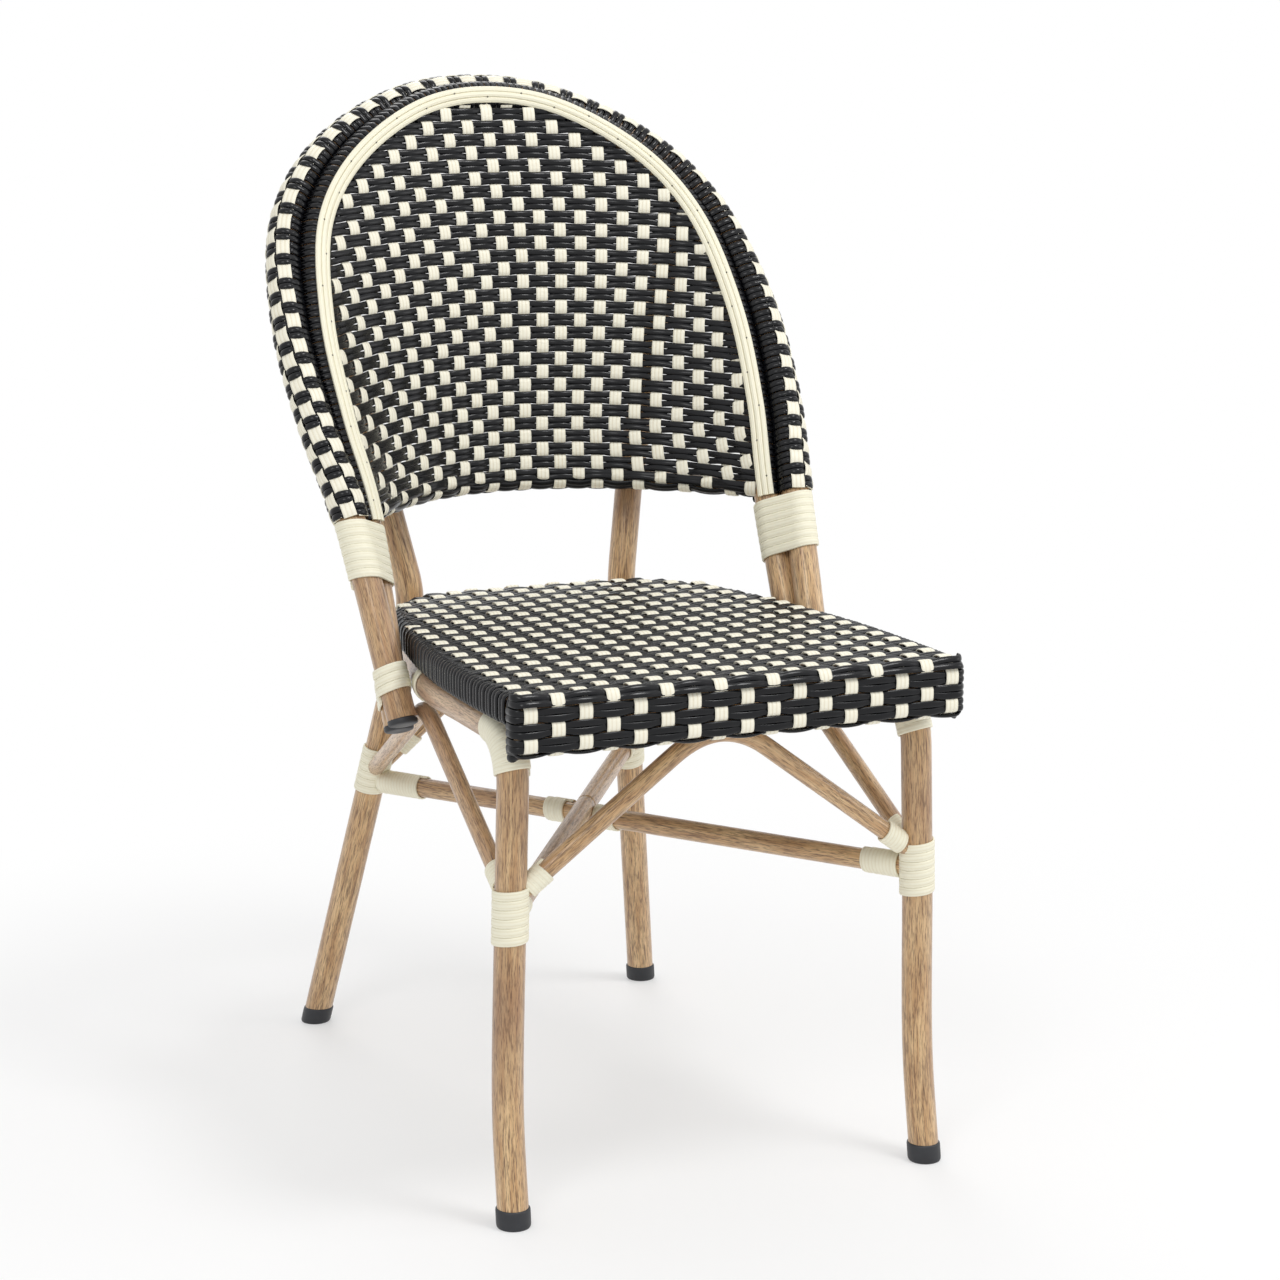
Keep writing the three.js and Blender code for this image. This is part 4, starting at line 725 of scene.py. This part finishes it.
flat_warp("back_warp", warps, "back_panel", 0.0114, 0.0015)
tube("back_bottom_rail_tube", "back_bottom_rail", rail_at(np.linspace(-0.99, 0.99, 80)),
     BOTTOM_RAIL)

# Rim: black pairs come out from under the piping, dip between the hoops and go round the outer one,
# over and under flat cream warps that run along it. Behind, they close over the inner hoop too.

PAIR_PITCH, PAIR_HALF = 12.2, 2.85
WARP_STEP, FIRST_WARP, WARP_LANES, VALLEY = 50.0, 80.0, 5, 30
FRONT_OUT, ROUND_OUT, BEHIND_OUT, WARP_OUT = 14.1, 15.2, 14.4, 15.0
TOP_SHIFT, TOP_REACH, RIGHT_SHIFT, RIGHT_REACH = 44, 0.4, 20, 0.5
# Where a strand turns from one hoop to the other, in degrees from the way to the outer hoop
FRONT_TURN, ROUND_TURN, BEHIND_TURN, UNDER_PIPING = (34, 30), 150, (-30, -178), 8

def warp_shift(share):
    """How far the warps turn forward at the top, and back on the right, in degrees"""
    top = TOP_SHIFT * np.clip(1 - np.abs(share) / TOP_REACH, 0, 1) ** 1.5
    return top - RIGHT_SHIFT * np.clip(share / RIGHT_REACH, 0, 1)

def rim_path(share, odd):
    """One strand across the rim: under the piping, into the valley, round, and back behind"""
    inner, outer, _, to_outer, square = (value[0] for value in pair_frame(share))
    start = max(piping_turn(share) - UNDER_PIPING - twist_at(share), FRONT_TURN[0])
    front, behind = np.linspace(start, FRONT_TURN[1], 4), np.linspace(*BEHIND_TURN, 15)
    over = np.linspace(ROUND_TURN, -ROUND_TURN, 46)
    first = FIRST_WARP + warp_shift(share)
    ride = over_under(math.pi * ((over - first) / WARP_STEP + odd), 0.8)
    ride = np.where(over > first + VALLEY, 0.0, ride)
    line, face = (np.vstack(parts) for parts in zip(
        round_tube(inner, to_outer, square, front, FRONT_OUT),
        round_tube(outer, to_outer, square, over, ROUND_OUT),
        round_tube(inner, to_outer, square, behind, BEHIND_OUT)))
    return line, face, np.concatenate([0 * front, ride, 0 * behind])

arc = 2 * skin_end * HOOP_HALF
count = round(arc / PAIR_PITCH)
pairs = [rim_path((-arc / 2 + (k + 0.5) * arc / count + lane * PAIR_HALF) / HOOP_HALF, k)
         for k in range(count) for lane in (-1, 1)]
laid_strands("rim_weft", pairs, black, "weave_black", "rim_cover", width=0.006, thickness=0.0024,
             rise=0.0012, squareness=0.9, facets=8)
rim_warps = []
s = np.linspace(-skin_end, skin_end, count * 6)
_, outer, _, to_outer, square = pair_frame(s)
for lane in range(WARP_LANES):
    turn = FIRST_WARP + warp_shift(s) - WARP_STEP * lane
    phase = math.pi * ((s * HOOP_HALF + arc / 2) / (arc / count) - 0.5 + lane)
    rim_warps.append((*round_tube(outer, to_outer, square, turn, WARP_OUT), -over_under(phase)))
flat_warp("rim_warp", rim_warps, "rim_cover", 0.0122, 0.0011)

# Piping: three rounded cream strands side by side cover the weave's edge on the inner hoop, and are
# pinned down with small steel brads.

PIPING_STEP, PIPING_SHIFT, PIPING_OUT = 19.8, 8, 15.2
BRAD_HEAD, BRADS_APART, BRAD_OUT, BRAD_LANES = 0.0009, 34, 16.05, (-0.55, 0.45)

def piping_line(share, lane, radius):
    middle, _, front, out = hoop_frame(share)
    return round_tube(middle, out, front, piping_turn(share) + PIPING_SHIFT + lane * PIPING_STEP,
                      radius)

s = np.linspace(-skin_end, skin_end, 260)
for label, lane in (("outer", -1), ("middle", 0), ("inner", 1)):
    laid_strands(f"piping_strand_{label}", [piping_line(s, lane, PIPING_OUT)], wrap_cream,
                 "strand_cream", f"piping_{label}", width=0.0053, thickness=0.0032,
                 squareness=0.85, facets=14)

def pin_tree():
    """A round brad head on every point"""
    tree, given, out = tree_of(
        "pinned_brads", "GeometryNodeTree",
        {"Places": "Geometry", "Head": "Float", "Finish": "Material"}, {"Brads": "Geometry"})
    head = node(tree, "GeometryNodeMeshIcoSphere", {"Radius": given["Head"], "Subdivisions": 2})
    smooth = node(tree, "GeometryNodeSetShadeSmooth", {"Geometry": head[0]})
    spots = node(tree, "GeometryNodeMeshToPoints", {"Mesh": given["Places"]})
    set_in = node(tree, "GeometryNodeInstanceOnPoints", {"Points": spots[0],
                                                         "Instance": smooth[0]})
    filled(out, {"Brads": covered(tree, set_in[0], given["Finish"])})
    return tree

steel, tree, shade = new_material("brad_steel")
tone = mixed(tree, noise(tree, place_of(tree), 4000, 1), colour("4A463E"), colour("8A857A"))
filled(shade, {"Base Color": tone, "Metallic": 0.8, "Roughness": 0.4})
brads = int(arc / BRADS_APART)
shares = ((np.arange(brads) + 0.5) / brads - 0.5) * arc / HOOP_HALF
lanes = np.resize(BRAD_LANES, brads)
places = bpy.data.meshes.new("brad_places")
places.from_pydata(in_place(piping_line(shares, lanes, BRAD_OUT)[0]).tolist(), [], [])
piece("piping_brads", grown("piping_brads", places, pin_tree(),
                            {"Head": BRAD_HEAD, "Finish": steel}), None, "tube_brown")

# Seat: woven over a D-shaped tube frame with a deep front. Cream warps run from under the front, up
# its face and over the top to the back; black pairs cross them and close over the sides.

SEAT_TOP, SEAT_LOW, APRON_LOW = 446.0, 419.1, 397.0
SEAT_WARP, TOP_ROW, FACE_ROW, SEAT_HALF = 23.3, 13.7, 12.0, 200.5
SEAT_FRONT, SEAT_BACK, FACE_Y, STRAND_IN = -201.5, 271, -202.7, 1.3
PLAN = [(0.5, 0), (0.955, 0), (0.992, 0.012), (1, 0.045), (0.99, 0.38), (0.905, 0.635),
        (0.79, 0.84), (0.64, 0.935), (0.4, 0.99), (0, 1)]
PLAN_INSET, CORNER_BACK, LAST_ROW_Y = 1.2, -170, 264
TAPER, TAPER_FROM, TUCK_FRONT, TUCK_BACK, TUCK_SIDE = 0.00027, -190, -178, 26, 22
# Each row of the face, from below, with how far its end bulges and how far it runs on
FACE_ROWS = ((-4, 7.5, 2), (-3, 8.8, 7), (-2, 8.8, 7), (-1, 8.8, 7), (0, 7.5, 2))
FACE_HALF, FACE_TURN, FACE_LANE, TOP_LANE = 191, 8.3, 2.75, 3.0
SEAT_TUBE, SEAT_TUBE_INSET, SEAT_TUBE_HEIGHT = 20, 13.3, 432.7
APRON_BAR_HALF, APRON_BAR_Y, APRON_BAR_HEIGHT = 188.5, -189.5, 410.3

def seat_plan(inset):
    """The seat's outline, drawn in by an inset"""
    def corner(width, depth):
        front, back = SEAT_FRONT + inset, SEAT_BACK - inset
        return ((SEAT_HALF - inset) * width, front + (back - front) * depth, 0)
    return bent([corner(-w, d) for w, d in PLAN[:-1]] + [corner(w, d) for w, d in PLAN[::-1]], 24,
                True)

plan = seat_plan(PLAN_INSET)
right_side = plan[(plan[:, 0] >= 0) & (plan[:, 1] > -190)]
right_side = right_side[np.argsort(right_side[:, 1])]
behind = plan[plan[:, 1] > 60]
behind = behind[np.argsort(behind[:, 0])]

def seat_half_at(y):
    return np.where(y > CORNER_BACK, np.interp(y, right_side[:, 1], right_side[:, 0]),
                    SEAT_HALF - PLAN_INSET)

def rounded_line(corners, radii, spacing=2.0):
    """Straight runs with each corner between them rounded, as evenly spaced points"""
    run = [np.array(corners[0], float)]
    for a, b, c, r in zip(corners, corners[1:], corners[2:], radii):
        run += list(cornered([a, b, c], r, 10)[1:-1])
    run.append(np.array(corners[-1], float))
    return stepped(np.array(run), spacing)

def drawn_in(y):
    """How far the warps close up towards the narrower back"""
    return 1 - TAPER * np.clip(y - TAPER_FROM, 0, None)

def warp_line(x):
    """A warp from under the front to under the back, or to the side where the seat curves in"""
    ys = np.arange(-190, SEAT_BACK, 1.0)
    out = np.abs(x) * drawn_in(ys) > seat_half_at(ys) - 6
    leaves = out.any() and ys[np.argmax(out)] < 205
    back = ys[np.argmax(out)] if leaves else np.interp(x * drawn_in(250), behind[:, 0],
                                                       behind[:, 1]) - 0.3
    top, under = SEAT_TOP - STRAND_IN, SEAT_LOW + STRAND_IN
    corners = [(x, TUCK_FRONT, APRON_LOW + STRAND_IN), (x, FACE_Y, APRON_LOW + STRAND_IN),
               (x, FACE_Y, top), (x, back, top)]
    if not leaves:
        corners += [(x, back, under), (x, back - TUCK_BACK, under)]
    line = rounded_line(corners, (9, 7, 7, 6))
    line[:, 0] *= drawn_in(line[:, 1])
    return line

def line_facing(line, across):
    return unit(np.cross(across, unit(np.gradient(line, axis=0))))

def row_marks(line):
    """How far each point of a warp lies past its bend over the front edge"""
    marks = lengths(line)
    bend = np.argmin(np.abs(line[:, 1] - FACE_Y - 2) + np.abs(line[:, 2] - SEAT_TOP + 3.3))
    return marks - marks[bend]

seat_warps = []
for i in range(-8, 9):
    line = warp_line(i * SEAT_WARP)
    marks = row_marks(line)
    phase = math.pi * (marks / np.where(marks < 0, FACE_ROW, TOP_ROW) + i + 1)
    on_top = (line[:, 2] > SEAT_TOP - 3) & (line[:, 1] < line[:, 1].max() - 8)
    calm = np.where(on_top, 1.0, np.where(line[:, 1] < 0, 0.62, 0.3))
    seat_warps.append((line, line_facing(line, (1, 0, 0)), over_under(phase, 0.35) * calm))
flat_warp("seat_warp", seat_warps, "seat_weave", 0.0114, 0.0024)

profile = warp_line(0)
profile_marks, profile_facing = row_marks(profile), line_facing(profile, (1, 0, 0))
face_rows, top_rows = [], []
for k, bulge, tail_end in FACE_ROWS:
    _, y, z = between(k * FACE_ROW, profile_marks, profile)
    x = np.linspace(-FACE_HALF, FACE_HALF, 130)
    turn = np.linspace(0, math.pi / 2, 7)[1:]
    bend = np.stack([FACE_HALF + bulge * np.sin(turn), y + (1 - np.cos(turn)) * FACE_TURN,
                     z + 0 * turn], -1)
    tail = bend[-1] + np.linspace(1, tail_end, 5)[:, None] * (0, 1, 0)
    right = np.vstack([bend, tail])
    line = np.vstack([mirrored(right[::-1], -1), np.stack([x, y + 0 * x, z + 0 * x], -1), right])
    out = np.clip((np.abs(line[:, :1]) - FACE_HALF) / FACE_TURN, 0, 1)
    facing = between(k * FACE_ROW, profile_marks, profile_facing)
    ways = unit(unit(facing) * (1 - out) + np.sign(line[:, :1]) * (1, 0, 0) * out)
    phase = math.pi * (np.clip(line[:, 0], -200, 200) / SEAT_WARP + k)
    ride = np.where(np.abs(line[:, 0]) > 196, 0.0, over_under(phase))
    face_rows += [(line, ways, ride, lane * (FACE_LANE + 0.4 * ride)) for lane in (-1, 1)]
for row in range(1, 41):
    y = np.interp(row * TOP_ROW, profile_marks, profile[:, 1])
    if y > LAST_ROW_Y:
        break
    inset, low = (1.6, APRON_LOW + 3) if row == 1 else (0, SEAT_LOW)
    half = max(seat_half_at(y) - inset, 20)
    top, under = SEAT_TOP - STRAND_IN, low + STRAND_IN
    line = rounded_line([(half - TUCK_SIDE, y, under), (half, y, under), (half, y, top),
                         (-half, y, top), (-half, y, under), (-half + TUCK_SIDE, y, under)],
                        (6, 7, 7, 6), 3.0)
    on_top = (line[:, 2] > SEAT_TOP - 3) & (np.abs(line[:, 0]) < half - 4)
    ride = np.where(on_top, over_under(math.pi * (line[:, 0] / (SEAT_WARP * drawn_in(y)) + row)),
                    0.0)
    ways = line_facing(line, (0, 1, 0))
    top_rows += [(line, ways, ride, lane * (TOP_LANE + 0.7 * ride)) for lane in (-1, 1)]
laid_strands("seat_face_weft", face_rows, black, "weave_black", "seat_weave", width=0.0062,
             thickness=0.003, rise=0.0011, spread=0.001, squareness=1.0, facets=12)
laid_strands("seat_top_weft", top_rows, black, "weave_black", "seat_weave", width=0.0062,
             thickness=0.0028, rise=0.0008, spread=0.001, squareness=1.0, facets=9)
tube("seat_frame_tube", "seat_frame", seat_plan(SEAT_TUBE_INSET) + (0, 0, SEAT_TUBE_HEIGHT),
     SEAT_TUBE, 24, True)
apron_end = (APRON_BAR_HALF, APRON_BAR_Y, APRON_BAR_HEIGHT)
tube("seat_apron_tube", "seat_apron_bar", [mirrored(apron_end, -1), apron_end], SEAT_TUBE, 24)

# Wraps: every joint is bound with one cream plastic strand, wound tightly by hand with each turn
# beside the last. Two of them on each side go round both hoops, and the ends are tucked under.

WRAP_PITCH, THIN_PITCH, CORNER_PITCH, TIE_PITCH = 7.5, 6.8, 5.4, 7.4
WRAP_WIDE, WRAP_NARROW, WRAP_OUT, PAIR_WRAP_OUT = 0.0078, 0.0076, 1.2, 14.3
SEAT_WRAP_TOP, SEAT_WRAP_LEAN = 406, 4
CORNER_FROM, TIE_FROM = 364.3, 54
JOINTS = (("front", front_leg_at, 258.5), ("rear", rear_leg_at, 267))
JOINT_TURNS, CROSSING_GAP = 6, 17

def framed(run, reference):
    """Middle of a run and two ways round it, at any distance along it or past its ends"""
    run = stepped(np.asarray(run, float), 2)
    along = unit(np.gradient(run, axis=0))
    first = square_to(np.array(reference, float), along)
    marks = lengths(run)

    def at(distance):
        inside = np.clip(distance, 0, marks[-1])
        middle, way, side = (between(inside, marks, table) for table in (run, along, first))
        return middle + way * (distance - inside)[:, None], unit(way), unit(side)
    return at

def wound(at, diameter, start, turns, pitch, begin=0):
    """A strand's path round a tube, turn beside turn, from a distance along the tube"""
    degrees = np.linspace(0, turns * 360, turns * 26 + 1)
    middle, along, first = at(start + pitch * degrees / 360)
    return round_tube(middle, first, np.cross(along, first), degrees + begin,
                      diameter / 2 + WRAP_OUT)

def both_hoops(side, top, turns, lean=0, half_turn=20):
    """A strand's path down both hoops, half of each turn on either; a lean sets its front lower"""
    step = np.arange(turns * 2 * half_turn + 1)
    inside = step % (2 * half_turn)
    on_outer = inside < half_turn
    turn = np.where(on_outer, -90, 90) + 180 * (inside % half_turn) / (half_turn - 1)
    down = step / (2 * half_turn) * WRAP_PITCH - lean * np.sin(np.radians(turn))
    inner, outer, _, to_outer, square = pair_frame(side * (top + down / HOOP_HALF))
    return round_tube(np.where(on_outer[:, None], outer, inner), to_outer, square, turn,
                      PAIR_WRAP_OUT)

def wrap(name, paths, width=WRAP_WIDE):
    laid_strands(f"{name}_strand", paths, wrap_cream, "strand_cream", name, width=width,
                 thickness=0.0022, squareness=0.55, facets=10)

for name, side in SIDES:
    wrap(f"back_wrap_{name}", [both_hoops(side, hoop_share_at(BACK_WRAP_TOP), 7)])
    wrap(f"seat_side_wrap_{name}",
         [both_hoops(side, hoop_share_at(SEAT_WRAP_TOP), 3, SEAT_WRAP_LEAN)])
    leg = mirrored(front_leg, side)
    marks, at = lengths(leg), framed(leg, (1, 0, 0))
    corner = marks[np.argmax(leg[:, 2] > CORNER_FROM)] + 6
    wrap(f"corner_wrap_{name}", [wound(at, TUBE, corner, 10, CORNER_PITCH)], WRAP_NARROW)
    tie = marks[np.argmax(leg[:, 1] > TIE_FROM)]
    wrap(f"seat_tie_{name}", [wound(at, TUBE, tie, 2, TIE_PITCH)])

# Where each wrap on a brace starts, from the end at its own side, and its turns
brace_wraps = {
    "left": ((front_arch, ARCH, 18, 3), (mirrored(side_arch, -1), ARCH, 18, 3),
             (rear_arch, ARCH, 34, 3), (halves, STRETCHER, 18, 3), (through, STRETCHER, 15, 7)),
    "right": ((front_arch[::-1], ARCH, 18, 3), (side_arch, ARCH, 18, 3),
              (rear_arch[::-1], ARCH, 34, 3), (through[::-1], STRETCHER, 14, 5),
              (halves[::-1], STRETCHER, 27, 2))}
for name, side in SIDES:
    for end, leg_at, middle in JOINTS:
        low, high = (mirrored(leg_at(middle + d), side) for d in (-60, 60))
        start = np.linalg.norm(high - low) / 2 - JOINT_TURNS * WRAP_PITCH / 2
        wrap(f"joint_wrap_{end}_{name}", [wound(framed([low, high], (1, 0, 0)), TUBE, start,
                                                JOINT_TURNS, WRAP_PITCH, 90)], WRAP_NARROW)
    for label, (run, diameter, start, turns) in zip(
            ("front_arch", "side_arch", "rear_arch", "front_stretcher", "rear_stretcher"),
            brace_wraps[name]):
        wrap(f"{label}_wrap_{name}",
             [wound(framed(run, (0, 0, 1)), diameter, start, turns, THIN_PITCH)])
wrap("crossing_wrap", [wound(framed([crossing, end], (0, 0, 1)), STRETCHER, CROSSING_GAP, 3,
                             THIN_PITCH) for end in through[::-1]])
